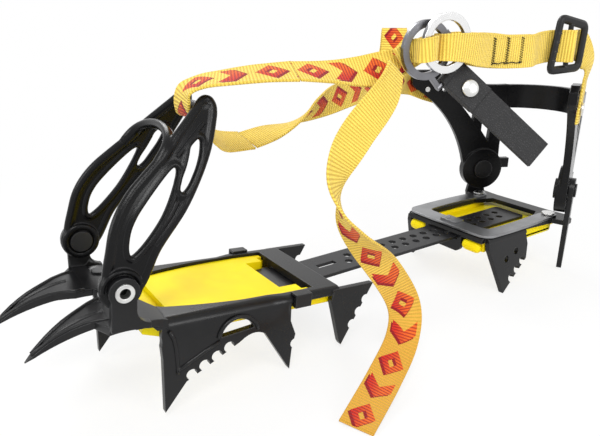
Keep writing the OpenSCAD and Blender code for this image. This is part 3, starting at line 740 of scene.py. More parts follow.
@dataclass
class Strap:
    """A run of webbing swept along its route."""

    name: str
    node: str
    route: Sequence[Stop]
    printed: Side = Side.UPPER
    start_run: float = 0.0
    thick: float = BAND_THICK
    steps: int = 10
    plain_shift: float = -0.1
    finish: Finish = Palette.webbing
    profile: tuple[tuple[float, float], ...] = (
        (1.0, 0.0), (0.992, 0.62), (0.965, 0.98), (0.92, 1.0), (0.87, 0.78), (0.6, 0.86), (0.2, 0.9),
        (-0.2, 0.9), (-0.6, 0.86), (-0.87, 0.78), (-0.92, 1.0), (-0.965, 0.98), (-0.992, 0.62),
        (-1.0, 0.0))

    def flow(self) -> list[Stop]:
        """Smooth the route.

        Returns:
            Points on a curve through its stops.
        """
        route = self.route
        last = len(route) - 1

        def pick(i: int) -> Stop:
            """A stop of the route, held at its ends."""
            return route[max(0, min(last, i))]

        stops = []
        for i in range(last):
            four = [pick(i - 1), pick(i), pick(i + 1), pick(i + 2)]
            for j in range(self.steps):
                t = j / self.steps
                stops.append(Stop(curve(*[s.at for s in four], t), curve(*[s.across for s in four], t),
                                  curve(*[s.width for s in four], t)))
        stops.append(route[last])
        return stops

    def stations(self) -> list[Station]:
        """Work out the sections.

        Returns:
            Places along the curve, in metres.
        """
        stops = self.flow()
        result, run = [], self.start_run
        for i, stop in enumerate(stops):
            before, after = stops[max(0, i - 1)], stops[min(len(stops) - 1, i + 1)]
            along = (after.at - before.at).normalized()
            over = along.cross(stop.across).normalized()
            across = over.cross(along)
            if i:
                run += (stop.at - before.at).length * MM
            wide, thick = across * stop.width / 2 * MM, over * self.thick / 2 * MM
            result.append(Station(placed(wide, thick, along * MM, stop.at * MM), run))
        return result

    def sweep(self) -> bmesh.types.BMesh:
        """The band, grown section by section by extrusion.

        Returns:
            A closed mesh with a weave map: metres along, metres across, the plain face set apart.
        """
        bm = bmesh.new()
        run_tag = bm.verts.layers.float.new("run")
        wide_tag = bm.verts.layers.float.new("wide")
        over_tag = bm.verts.layers.float.new("over")
        upper = list(self.profile)
        shape = upper + [(a, -b) for a, b in reversed(upper[1:-1])]
        stations = self.stations()
        verts = [bm.verts.new((a, b, 0.0)) for a, b in shape]
        for vert, (a, b) in zip(verts, shape):
            vert[wide_tag], vert[over_tag], vert[run_tag] = a, b, stations[0].run
        edges = [bm.edges.new((verts[i - 1], verts[i])) for i in range(len(verts))]
        bmesh.ops.transform(bm, matrix=stations[0].matrix, verts=verts)
        for before, here in zip(stations, stations[1:]):
            verts, edges = grow(bm, edges, here.matrix @ before.matrix.inverted())
            for vert in verts:
                vert[run_tag] = here.run
        bmesh.ops.holes_fill(bm, edges=[e for e in bm.edges if e.is_boundary], sides=0)
        bmesh.ops.recalc_face_normals(bm, faces=bm.faces)
        weave = bm.loops.layers.uv.new("weave")
        half = BAND_WIDE / 2 * MM
        for face in bm.faces:
            woven = sum(v[over_tag] for v in face.verts) * self.printed.value > 0
            shift = 0.0 if woven else self.plain_shift
            for loop in face.loops:
                v = loop.vert
                loop[weave].uv = (v[run_tag], v[wide_tag] * half + shift)
        return bm

    def build(self) -> bpy.types.Object:
        """Make the piece and let it stand for its solid.

        Returns:
            The new object.
        """
        piece = link(self.name, self.sweep(), self.finish)
        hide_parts(self.node)
        LOG.info("%s: %d faces", self.name, len(piece.data.polygons))
        return piece

    def path(self) -> list[Vector]:
        """Centre line in metres."""
        return [s.matrix.translation for s in self.stations()]

    def length(self) -> float:
        """Length of the band in metres."""
        return self.stations()[-1].run - self.start_run


def stop(at: Sequence[float], across: Sequence[float], share: float = 1.0) -> Stop:
    """A route point of the webbing, at a share of its full width."""
    return Stop(Vector(at), Vector(across), BAND_WIDE * share)


@dataclass
class StrapWork:
    """All the webbing of the crampon."""

    toe_bar: Vector = field(default_factory=lambda: Vector((-59.911, 0.0, 100.989)))
    bar_off: float = 4.15
    soft_gap: float = 0.4
    wing_across: tuple[float, float, float] = (math.cos(Wing.turn), math.sin(Wing.turn), 0.0)
    mid_near: Stop = field(default_factory=lambda: stop((-18, -26.5, 117.5), (0, 0.92, 0.4)))
    mid_far: Stop = field(default_factory=lambda: stop((-18, 24.5, 75), (0.1, 0.92, 0.35)))

    def toe_loop(self) -> Strap:
        """From the far run under and round the bar of the toe cage to the near run.

        Returns:
            The strap.
        """
        x, z, d = self.toe_bar.x, self.toe_bar.z, self.bar_off
        level = (0, 1, 0)
        return Strap("webbing_toe_loop", "strap_toe_loop", [
            self.mid_far, stop((-35, 20, 77.5), (0.2, 0.88, 0.4)),
            stop((-47, 12, 84), (0.2, 0.95, 0.25)), stop((-55, 4, 91.5), (0.1, 1, 0.1)),
            stop((x - 0.5, -1, z - d - 1.3), level, 0.95), stop((x - d - 1.6, -2.2, z - 3), level, 0.95),
            stop((x - d - 2.8, -2.8, z + 3), level, 0.95), stop((x - d - 1, -4.5, z + 9), level, 0.97),
            stop((-58.5, -8.5, 113.6), (0, 0.99, 0.1)), stop((-48, -15, 115.5), (0, 0.97, 0.2)),
            stop((-34, -21.5, 117), (0, 0.95, 0.3)), self.mid_near])

    def near_run(self) -> Strap:
        """From the toe loop through both rings and back over the silver one.

        Returns:
            The strap.
        """
        at, k = Rings.point, 0.66
        start = Stop(self.mid_near.at + Vector((self.soft_gap, 0, 0)), self.mid_near.across, BAND_WIDE)
        return Strap("webbing_near_run", "strap_near_run", [
            start, stop((0, -30.5, 116.5), (0, 0.86, 0.5)), stop((14, -33.5, 116), (0, 0.7, 0.7)),
            stop((26, -36, 116.8), (0, 0.5, 0.87)), stop(at(-12, -5.8, -6), UP, 0.8),
            stop(at(-4, -5.6, -2.5), UP, 0.7), stop(at(1.4, -3, 1), UP, k), stop(at(2, 2, 1.4), UP, k),
            stop(at(1.2, 7, 1.4), UP, k), stop(at(-4.2, 8.2, 0.6), UP, k), stop(at(-7.2, 5.5, 0), UP, k),
            stop(at(-7.2, 0.8, 0), UP, k), stop(at(-9, -2.7, -1), UP, 0.62),
            stop(at(-14.5, -2.5, -5), (-0.25, 0.1, 0.95), 0.75)])

    def tail(self) -> Strap:
        """Free end that hangs from the rings to the ground.

        Returns:
            The strap.
        """
        return Strap("webbing_tail", "strap_tail", [
            stop(Rings.point(-17.2, -1.2, -8.4), (-0.3, 0.1, 0.95), 0.77),
            stop((24, -46, 105.5), (-0.35, 0.15, 0.9)), stop((2, -50, 88), (-0.45, 0.4, 0.75)),
            stop((-11, -53, 72), (-0.87, -0.2, 0.35)), stop((-11, -55, 56), (-0.6, -0.75, 0.3)),
            stop((-4, -57, 40), (0.05, -0.95, 0.3)), stop((15, -61, 17), (0.6, -0.5, 0.6)),
            stop((26, -66, -5), (0.8, -0.55, 0.2)), stop((20, -72, -21), (0.75, -0.6, -0.2)),
            stop((0, -81, -32), (0.66, -0.7, -0.2)), stop((-30, -95, -39.4), (0.55, -0.83, -0.05))],
            finish=Palette.webbing_painted_end_shade)

    def short(self) -> Strap:
        """Sewn strap that holds both rings and runs up to the bar of the slide.

        Returns:
            The strap.
        """
        at, s, k = Rings.point, Rings.slide_start, 0.74
        return Strap("webbing_short", "strap_short", [
            stop(at(72, -1.2, -2), UP), stop(at(50, -1.2, -2), UP), stop(at(33, -2.2, -0.4), UP, 0.97),
            stop(at(24, -4.1, 1.6), UP, 0.8), stop(at(17, -4.6, 1.8), UP, k),
            stop(at(9, -3.4, 1.5), UP, k), stop(at(5.8, -1, 1.4), UP, k), stop(at(5.3, 2, 1.4), UP, k),
            stop(at(6, 6, 1.4), UP, k), stop(at(10, 8.2, 1.5), UP, 0.76),
            stop(at(20, 8, 1), UP, 0.82), stop(at(29, 6.4, 0), UP, 0.95), stop(at(42, 2, -1), UP),
            stop(at(54, 1.1, -2), UP), stop(at(72, 1.1, -2), UP), stop(at(s - 7, -2.4, -1), UP),
            stop(at(s + 3, -2.7, 0), UP), stop(at(s + 12, 4.3, 0), UP), stop(at(s + 13, 4.4, 0), UP)],
            printed=Side.LOWER, steps=8)

    def short_end(self) -> Strap:
        """The rest of the short strap, from the bar of the slide to the near wing.

        Returns:
            The strap.
        """
        at, s, wing = Rings.point, Rings.slide_start, Wing.point
        return Strap("webbing_short_end", "strap_short", [
            stop(at(s + 13, 4.4, 0), UP), stop(at(s + 14, 4.3, 0), UP), stop(at(s + 23, -2.7, 0), UP),
            stop(at(s + 29, -3.4, -1), (0.2, 0.05, 1)), stop(wing(-45.5, 115), (0.6, 0.2, 0.7)),
            stop(wing(-46.5, 104), (0.85, 0.4, 0.3)), stop(wing(-50, 96), self.wing_across),
            stop(wing(-52, 88), self.wing_across), stop(wing(-53, 79), self.wing_across)],
            printed=Side.LOWER, steps=8, start_run=self.short().length())

    def far_run(self) -> Strap:
        """From the toe loop along the outside of the far wing.

        Returns:
            The strap.
        """
        down = (0, 0, -1)

        def wing(x: float, z: float) -> Vector:
            """Point on the far wing."""
            return Wing.point(x, z, far=True)

        start = Stop(self.mid_far.at + Vector((3 * self.soft_gap, 0, 0)), self.mid_far.across, BAND_WIDE)
        return Strap("webbing_far_run", "strap_far_run", [
            start, stop((0, 27, 77.5), (0, 0.97, 0.25)), stop((20, 30.5, 81.5), (0, 0.95, -0.3)),
            stop((38, 34, 87), (0, 0.5, -0.87)), stop((60, 39, 92), (0, -0.17, -0.98)),
            stop((84, 44.5, 95), (0, -0.2, -1)), stop((111, 54, 96), down), stop((134, 65, 95), down),
            stop(wing(-66, 92.5) + Vector((-0.5, 1.2, 0)), down), stop(wing(-60, 91), down),
            stop(wing(-52, 88), down), stop(wing(-42, 85), down)], printed=Side.LOWER)

    def keeper(self) -> Strap:
        """Upright loop round the far run, turned towards the rings above it.

        Returns:
            The strap.
        """
        flat, turned, half = (0.9, 0.43, 0), (0.83, -0.56, 0), (0.95, -0.1, 0)
        return Strap("webbing_keeper", "strap_keeper", [
            stop((122.9, 57, 84), flat), stop((122.9, 57, 105), flat), stop((122, 55.5, 112), half),
            stop((121.3, 54, 120), turned), stop((121.6, 54, 130), turned),
            stop((122.9, 55.8, 134), turned), stop((124.2, 57.8, 130), turned),
            stop((124.4, 58.8, 120), turned), stop((122.7, 60.3, 112), half),
            stop((121.1, 61.3, 105), flat), stop((121.1, 61.3, 84), flat)], printed=Side.LOWER)

    def build(self) -> None:
        """Make every strap; the tail and the keeper ride on the heel."""
        tail = self.tail()
        piece = tail.build()
        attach(piece, "heel")
        path = tail.path()
        round(tail.length(), 3)
        loop = self.toe_loop().build()
        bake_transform(loop)
        near = self.near_run().build()
        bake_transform(near)
        far = self.far_run().build()
        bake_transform(far)
        s = Rings.slide_start
        before, bar, after = (tuple(Rings.point(t, 0, 0) * MM) for t in (s - 15, s + 5, s + 32))
        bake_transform(self.short().build())
        leave = tuple(Rings.point(s + 21, 0, 0) * MM)
        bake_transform(self.short_end().build())
        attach(self.keeper().build(), "heel")


@dataclass
class Bead:
    """A line swept through points, such as a thread, a pressed bead or a moulded bar."""

    points: Sequence[Vector]
    radius: float
    normal: Vector
    sides: int = 6
    depth: float = 1.0
    closed: bool = False

    def frames(self) -> list[Matrix]:
        """Work out the places of the sections along the line.

        Returns:
            One matrix for each point.
        """
        points, last = self.points, len(self.points) - 1
        result = []
        for i, here in enumerate(points):
            before, after = points[max(0, i - 1)], points[min(last, i + 1)]
            if self.closed and i in (0, last):
                before, after = points[last - 1], points[1]
            along = (after - before).normalized()
            side = self.normal.cross(along).normalized()
            over = along.cross(side) * self.depth
            result.append(placed(side, over, along, here))
        return result

    def sweep(self, bm: bmesh.types.BMesh) -> None:
        """Grow the line section by section by extrusion.

        Args:
            bm: the mesh it is added to.
        """
        start = Matrix.Rotation(math.pi / self.sides, 4, "Z")
        made = bmesh.ops.create_circle(
            bm, segments=self.sides, radius=self.radius, matrix=start)["verts"]
        edges = list({e for v in made for e in v.link_edges})
        frames = self.frames()
        bmesh.ops.transform(bm, matrix=frames[0], verts=made)
        ends = list(edges)
        for before, here in zip(frames, frames[1:]):
            edges = grow(bm, edges, here @ before.inverted())[1]
        bmesh.ops.holes_fill(bm, edges=ends + edges, sides=0)


def lines(name: str, beads: Sequence[Bead], body: str, finish: Finish, slot: str,
          smooth: bool = True) -> bpy.types.Object:
    """Join swept lines into one piece.

    Args:
        name: name of the piece.
        beads: the lines.
        body: the body it rides on.
        finish: what it is dressed in.
        slot: the record's slot, passed on to settle.
        smooth: whether its faces are smooth.

    Returns:
        The new object.
    """
    bm = bmesh.new()
    for bead in beads:
        bead.sweep(bm)
    bmesh.ops.recalc_face_normals(bm, faces=bm.faces)
    return settle(link(name, bm, finish, smooth), body, slot)


def settle(piece: bpy.types.Object, body: str, slot: str) -> bpy.types.Object:
    """Let a piece ride on a body and report it.

    Args:
        piece: the piece.
        body: the body it rides on.
        slot: not used.

    Returns:
        The piece.
    """
    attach(piece, body)
    LOG.info("%s on %s: %d faces", piece.name, body, len(piece.data.polygons))
    return piece


@dataclass
class BarTacks:
    """Three rows of zigzag sewing on the short strap, and the thread carried between them."""

    places: tuple[float, ...] = (43.0, 53.5, 64.0)
    top: float = 5.4
    foot: float = -8.4
    swing: float = 1.05
    stitches: int = 22
    thread: float = 0.34
    carried_thread: float = 0.8
    carried_lift: float = 0.05
    carried_above: float = 0.5
    wander: float = 0.35
    wander_turn: float = 0.9
    face: float = 1.95
    flat_from: float = 54.0
    slope: float = 0.075

    def build(self) -> None:
        """Sew the rows and the carried thread."""
        normal = Rings.outward()
        beads = []
        for place in self.places:
            points = []
            for i in range(self.stitches + 1):
                side = self.swing if i % 2 else -self.swing
                up = self.top + (self.foot - self.top) * i / self.stitches
                points.append(Rings.point(place + side, self.out(place), up) * MM)
            beads.append(Bead(points, self.thread * MM, normal))
        carried = []
        for t in range(int(self.places[0]), int(self.places[2]) + 2, 2):
            up = self.foot + self.carried_above + self.wander * math.sin(t * self.wander_turn)
            carried.append(Rings.point(t, self.out(t) + self.carried_lift, up) * MM)
        beads.append(Bead(carried, self.carried_thread * self.thread * MM, normal))
        lines("bar_tacks", beads, "heel", Palette.thread, "webbing")

    def out(self, place: float) -> float:
        """How far out the face of the strap stands at a place along it."""
        return self.face + max(0.0, self.flat_from - place) * self.slope


@dataclass
class Turned:
    """A round piece spun from its profile of radius and height, in millimetres."""

    profile: Sequence[tuple[float, float]]
    matrix: Matrix
    angle: float = 360.0
    steps: int = 40

    def spin(self, bm: bmesh.types.BMesh) -> None:
        """Spin the piece by itself and add it to a mesh.

        Args:
            bm: the mesh it is added to.
        """
        part = bmesh.new()
        verts = [part.verts.new((r * MM, 0.0, h * MM)) for r, h in self.profile]
        edges = [part.edges.new(pair) for pair in zip(verts, verts[1:])]
        bmesh.ops.spin(part, geom=verts + edges, cent=(0, 0, 0), axis=(0, 0, 1), steps=self.steps,
                       angle=math.radians(self.angle), use_merge=self.angle >= 360.0, use_duplicate=False)
        bmesh.ops.remove_doubles(part, verts=part.verts, dist=1e-6)
        bmesh.ops.holes_fill(part, edges=[e for e in part.edges if e.is_boundary], sides=0)
        bmesh.ops.recalc_face_normals(part, faces=part.faces)
        bmesh.ops.transform(part, matrix=self.matrix, verts=part.verts)
        join(bm, part)


def join(bm: bmesh.types.BMesh, part: bmesh.types.BMesh) -> None:
    """Add one mesh to another.

    Args:
        bm: the mesh that grows.
        part: the mesh that is added and freed.
    """
    passing = bpy.data.meshes.new("passing")
    part.to_mesh(passing)
    part.free()
    bm.from_mesh(passing)
    bpy.data.meshes.remove(passing)


def facing(at: Vector, side: int) -> Matrix:
    """Place of a turned piece that faces the near side, -1, or the far side, 1."""
    return Matrix.Translation(at) @ Matrix.Rotation(-side * math.pi / 2, 4, "X")


@dataclass
class ToeCage:
    """Toe cage: two leaning wings with rounded rims and a thinner web, an arch and the strap bar."""

    middle: float = 34.0
    lean: float = 135.45
    rim: float = 2.25
    window_share: float = 0.72
    web: float = 1.3
    rib: float = 1.0
    bands: tuple[int, int, int] = (-6, 78, 4)
    outer: tuple[tuple[float, float], ...] = (
        (-7.5, 5.4), (-6.2, 10.9), (-4.3, 16.9), (-1.3, 26.0), (3.2, 33.8), (9.5, 40.9), (17.7, 47.4),
        (29.8, 56.5), (35.0, 61.3), (41.5, 66.6), (47.6, 71.6), (51.6, 74.9), (55.2, 75.9), (58.2, 74.4),
        (59.4, 71.0), (58.8, 67.5), (57.0, 63.4), (53.9, 57.2), (49.6, 49.5), (42.3, 38.8), (33.5, 27.5),
        (22.5, 16.2), (18.0, 10.6), (14.2, 3.8), (10.8, -1.6), (6.0, -6.5), (0.0, -8.6), (-5.5, -6.2),
        (-8.0, -0.6))
    large: tuple[tuple[float, float], ...] = (
        (6.4, 13.4), (5.8, 15.4), (6.3, 18.9), (8.1, 24.1), (11.3, 29.0), (15.3, 33.3), (19.8, 37.6),
        (25.0, 42.2), (29.0, 45.4), (31.6, 46.8), (32.3, 45.8), (31.0, 42.2), (28.5, 37.5), (25.5, 32.4),
        (21.7, 27.0), (17.0, 21.8), (12.1, 17.1), (8.6, 14.4))
    small: tuple[tuple[float, float], ...] = (
        (33.3, 36.4), (32.6, 37.6), (34.1, 41.3), (37.4, 46.4), (39.9, 51.1), (41.4, 54.2), (44.1, 56.3),
        (46.0, 57.2), (46.4, 55.9), (44.7, 51.0), (41.4, 45.0), (37.7, 39.9), (34.8, 37.0))
    ribs: tuple[tuple[tuple[float, float], ...], ...] = (
        ((32.5, 32.0), (28.1, 26.7), (22.9, 21.5), (16.9, 16.1)),
        ((29.8, 32.5), (25.3, 26.8), (20.2, 21.6), (14.7, 16.6)),
        ((50.1, 64.0), (45.4, 60.6), (40.2, 56.6), (33.9, 51.5)))
    mark_at: tuple[float, float] = (32.5, 34.0)
    mark: tuple[tuple[float, float], ...] = ((1.9, 0.0), (1.9, 1.6), (1.6, 1.9), (0.0, 1.9))
    hub: tuple[tuple[float, float], ...] = (
        (3.4, -2.25), (8.8, -2.25), (9.5, -1.5), (9.5, 1.5), (8.8, 2.25), (3.4, 2.25), (3.4, -2.25))
    foot: tuple[float, float] = (25.4, 49.6)
    crown: tuple[float, float] = (36.0, 61.7)
    arch_radius: float = 2.3
    arch_depth: float = 1.3
    arch_swell: float = 0.75
    arch_sunk: float = 0.5
    bar_at: tuple[float, float] = (54.0, 69.0)
    bar_half: float = 15.5
    bar_radius: float = 3.0
    sharp: float = 55.0

    def loop(self, marks: Sequence[tuple[float, float]], inset: float) -> list[Vector]:
        """Smooth closed line beside an outline.

        Args:
            marks: points of the outline, in order.
            inset: how far the line lies to the left of it, in millimetres.

        Returns:
            Points of the line, the last joined to the first.
        """
        points, count = [Vector(m) for m in marks], len(marks)
        smooth = []
        for i in range(count):
            a, b, c, d = (points[(i + k) % count] for k in (-1, 0, 1, 2))
            smooth += [curve(a, b, c, d, t) for t in (0.0, 0.25, 0.5, 0.75)]
        line = []
        for i, here in enumerate(smooth):
            along = (smooth[(i + 1) % len(smooth)] - smooth[i - 1]).normalized()
            line.append(here + Vector((-along.y, along.x)) * inset)
        return line

    def surface(self, x: float, z: float, side: int, off: float = 0.0) -> Vector:
        """A point of a wing in metres, from its place beside the pivot.

        Args:
            x: run behind the pivot in millimetres.
            z: height over it.
            side: -1 for the near wing, 1 for the far one.
            off: how far outside the middle of the wing.

        Returns:
            The point in the object's frame.
        """
        y = self.middle - self.lean + math.sqrt(self.lean ** 2 - z * z) + off
        return Vector((TOE_PIVOT[0] + x, side * y, TOE_PIVOT[1] + z)) * MM

    def panel(self, loops: Sequence[Sequence[Vector]], side: int) -> bmesh.types.BMesh:
        """Fill the web of a wing, cut into bands so that it bends.

        Args:
            loops: middle lines of its rims, the outer one first.
            side: -1 for the near wing, 1 for the far one.

        Returns:
            The closed web.
        """
        part = bmesh.new()
        edges = []
        for line in loops:
            verts = [part.verts.new((v.x, 0.0, v.y)) for v in line]
            edges += [part.edges.new((verts[i - 1], verts[i])) for i in range(len(verts))]
        bmesh.ops.triangle_fill(part, edges=edges, normal=(0, -1, 0), use_beauty=True)
        for level in range(*self.bands):
            everything = [*part.verts, *part.edges, *part.faces]
            bmesh.ops.bisect_plane(
                part, geom=everything, dist=1e-5, plane_co=(0, 0, level), plane_no=UP)
        grown = bmesh.ops.extrude_face_region(part, geom=list(part.faces))["geom"]
        outside = {g for g in grown if isinstance(g, bmesh.types.BMVert)}
        for vert in part.verts:
            off = self.web if vert in outside else -self.web
            vert.co = self.surface(vert.co.x, vert.co.z, side, off)
        bmesh.ops.recalc_face_normals(part, faces=part.faces)
        return part

    def wing(self, bm: bmesh.types.BMesh, side: int) -> None:
        """Add one wing: its web, a rim along each edge, ribs, a moulding mark and the hub.

        Args:
            bm: the mesh it is added to.
            side: -1 for the near wing, 1 for the far one.
        """
        slim = self.rim * self.window_share
        radii = (self.rim, slim, slim)
        windows = [self.loop(marks, slim) for marks in (self.large, self.small)]
        loops = [self.loop(self.outer, -self.rim), *windows]
        join(bm, self.panel(loops, side))
        normal = Vector((0, side, 0))
        for line, radius in zip(loops, radii):
            points = [self.surface(v.x, v.y, side) for v in line]
            Bead([*points, points[0]], radius * MM, normal, 12, self.rim / radius, True).sweep(bm)
        for rib in self.ribs:
            points = [self.surface(x, z, side, self.web) for x, z in rib]
            Bead(points, self.rib * MM, normal, 10).sweep(bm)
        Turned(self.mark, facing(self.surface(*self.mark_at, side), side)).spin(bm)
        Turned(self.hub, facing(self.surface(0.0, 0.0, side), -1)).spin(bm)

    def arch(self, bm: bmesh.types.BMesh) -> None:
        """Add the arch that joins the wings.

        Args:
            bm: the mesh it is added to.
        """
        x, z = TOE_PIVOT[0] + self.foot[0], TOE_PIVOT[1] + self.foot[1]
        rise = Vector((self.crown[0] - self.foot[0], 0.0, self.crown[1] - self.foot[1]))
        reach = self.surface(*self.foot, 1).y / MM - self.arch_sunk
        points = []
        for turn in range(-90, 91, 6):
            angle = math.radians(turn)
            lift = max(0.0, math.cos(angle)) ** self.arch_swell
            points.append((Vector((x, reach * math.sin(angle), z)) + rise * lift) * MM)
        normal = Vector((-rise.z, 0.0, rise.x)).normalized()
        Bead(points, self.arch_radius * MM, normal, 14, self.arch_depth).sweep(bm)

    def build(self) -> bpy.types.Object:
        """Both wings, the arch between them and the bar that carries the strap.

        Returns:
            The new object.
        """
        bm = bmesh.new()
        for side in (-1, 1):
            self.wing(bm, side)
        self.arch(bm)
        x, z = TOE_PIVOT[0] + self.bar_at[0], TOE_PIVOT[1] + self.bar_at[1]
        bar = [Vector((x, y, z)) * MM for y in (-self.bar_half, 0, self.bar_half)]
        Bead(bar, self.bar_radius * MM, Vector(UP), 20).sweep(bm)
        bmesh.ops.recalc_face_normals(bm, faces=bm.faces)
        piece = link("toe_cage_moulding", bm, Palette.cage)
        piece.data.set_sharp_from_angle(angle=math.radians(self.sharp))
        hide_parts("toe_cage")
        return settle(piece, "toe_cage", "black_plastic")


@dataclass
class LockPlate:
    """Spring plate: a flat horseshoe with rounded corners, its legs under the two rivets."""

    front: float = 129.5
    half: float = 38.5
    rivet: tuple[float, float] = (208.0, 32.0)
    thick: float = 1.5
    band: float = 13.5
    corner: float = 17.0
    leg_inset: float = 5.4
    tip: float = 4.6
    tip_reach: float = 5.5
    belly: float = 40.0
    edge: float = 0.4
    sharp: float = 50.0

    def outline(self) -> list[tuple[float, float, float]]:
        """Draw the horseshoe, the near half first.

        Returns:
            Its corners, each with its radius.
        """
        x0, half, (rx, ry), tip = self.front, self.half, self.rivet, self.tip
        xi, leg, xb, xt = x0 + self.band, ry - self.leg_inset, x0 + self.belly, rx + self.tip_reach
        near = [(x0 - 0.8, 0.0, 60.0), (x0 + 0.8, -half + 0.6, self.corner), (xb, -half - 0.8, 40.0),
                (xt, -ry - tip, tip), (xt, -ry + tip, tip), (rx - 6, -leg + 0.4, 12.0),
                (xb, -leg - 1.6, 30.0), (xi, -27.0, 9.0), (xi - 0.5, 0.0, 40.0)]
        return near + [(x, -y, r) for x, y, r in reversed(near[1:-1])]

    def build(self) -> bpy.types.Object:
        """Draw the plate, round its corners, give it its thickness and break its edges.

        Returns:
            The new object.
        """
        bm = bmesh.new()
        marks = self.outline()
        verts = [bm.verts.new((x * MM, y * MM, 0.0)) for x, y, _ in marks]
        bm.faces.new(verts)
        for vert, (_, _, radius) in zip(verts, marks):
            bmesh.ops.bevel(bm, geom=[vert], offset=radius * MM * 0.5, offset_type="OFFSET",
                            affect="VERTICES", segments=8, profile=0.5, material=-1, clamp_overlap=True)
        base = list(bm.faces)
        top = bmesh.ops.extrude_face_region(bm, geom=base)["geom"]
        bmesh.ops.translate(bm, verts=[g for g in top if isinstance(g, bmesh.types.BMVert)],
                            vec=(0, 0, self.thick * MM))
        bmesh.ops.recalc_face_normals(bm, faces=bm.faces)
        rims = [e for e in bm.edges if len(e.link_faces) == 2 and e.calc_face_angle() > 1.2]
        bmesh.ops.bevel(bm, geom=rims, offset=self.edge * MM, offset_type="OFFSET", affect="EDGES",
                        segments=2, profile=0.5, material=-1, clamp_overlap=True)
        piece = link("lock_plate_rounded", bm, Palette.spring)
        piece.data.set_sharp_from_angle(angle=math.radians(self.sharp))
        even = piece.modifiers.new("even_faces", "WEIGHTED_NORMAL")
        even.keep_sharp = True
        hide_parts("lock_plate")
        return settle(piece, "lock", "spring_steel")


@dataclass
class HeelTray:
    """Heel snow plate: a shallow tray under the bar, with side rims and two round lugs in front."""

    front: float = 133.0
    back: float = 211.0
    half: float = 33.8
    floor_top: float = -6.9
    foot: float = -12.0
    rim: float = -3.9
    inner: float = 27.6
    lug: tuple[float, float, float] = (131.5, 29.0, -8.6)
    lug_radius: float = 4.0
    lug_length: float = 7.5
    lip: tuple[float, float, float] = (16.0, 30.0, -9.6)
    lip_reach: float = 10.0
    sharp: float = 40.0

    def box(self, bm: bmesh.types.BMesh, low: Sequence[float], high: Sequence[float],
            round_by: float) -> None:
        """Add a block with rounded edges.

        Args:
            bm: the mesh it is added to.
            low: its lowest corner in millimetres.
            high: its highest corner.
            round_by: radius of its edges.
        """
        middle = (Vector(low) + Vector(high)) / 2 * MM
        size = (Vector(high) - Vector(low)) * MM
        place = Matrix.Translation(middle) @ Matrix.Diagonal((*size, 1.0))
        verts = bmesh.ops.create_cube(bm, size=1.0, matrix=place)["verts"]
        edges = list({e for v in verts for e in v.link_edges})
        bmesh.ops.bevel(bm, geom=edges, offset=round_by * MM, offset_type="OFFSET", affect="EDGES",
                        segments=3, profile=0.5, material=-1, clamp_overlap=True)

    def build(self) -> bpy.types.Object:
        """Tray floor, rims and lugs in one piece.

        Returns:
            The new object.
        """
        bm = bmesh.new()
        self.box(bm, (self.front, -self.half, self.foot), (self.back, self.half, self.floor_top), 1.8)
        lip_long, lip_half, lip_foot = self.lip
        lip_end = self.back + self.lip_reach
        self.box(bm, (lip_end - lip_long, -lip_half, lip_foot),
                 (lip_end, lip_half, self.floor_top - 0.02), 0.8)
        x, y, z = self.lug
        for side in (-1, 1):
            ys = sorted((side * self.inner, side * self.half))
            self.box(bm, (self.front, ys[0], self.foot + 1), (self.back, ys[1], self.rim), 1.0)
            ball = bmesh.ops.create_uvsphere(
                bm, u_segments=24, v_segments=14, radius=self.lug_radius * MM)["verts"]
            outer = [v for v in ball if v.co.y * side > 1e-6]
            bmesh.ops.translate(bm, verts=outer, vec=(0, side * self.lug_length * MM, 0))
            bmesh.ops.translate(bm, verts=ball, vec=(x * MM, side * (y - self.lug_length) * MM, z * MM))
        bmesh.ops.recalc_face_normals(bm, faces=bm.faces)
        piece = link("heel_snow_tray", bm, Palette.snow)
        piece.data.set_sharp_from_angle(angle=math.radians(self.sharp))
        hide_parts("heel_snow_plate")
        return settle(piece, "heel", "yellow_plastic")


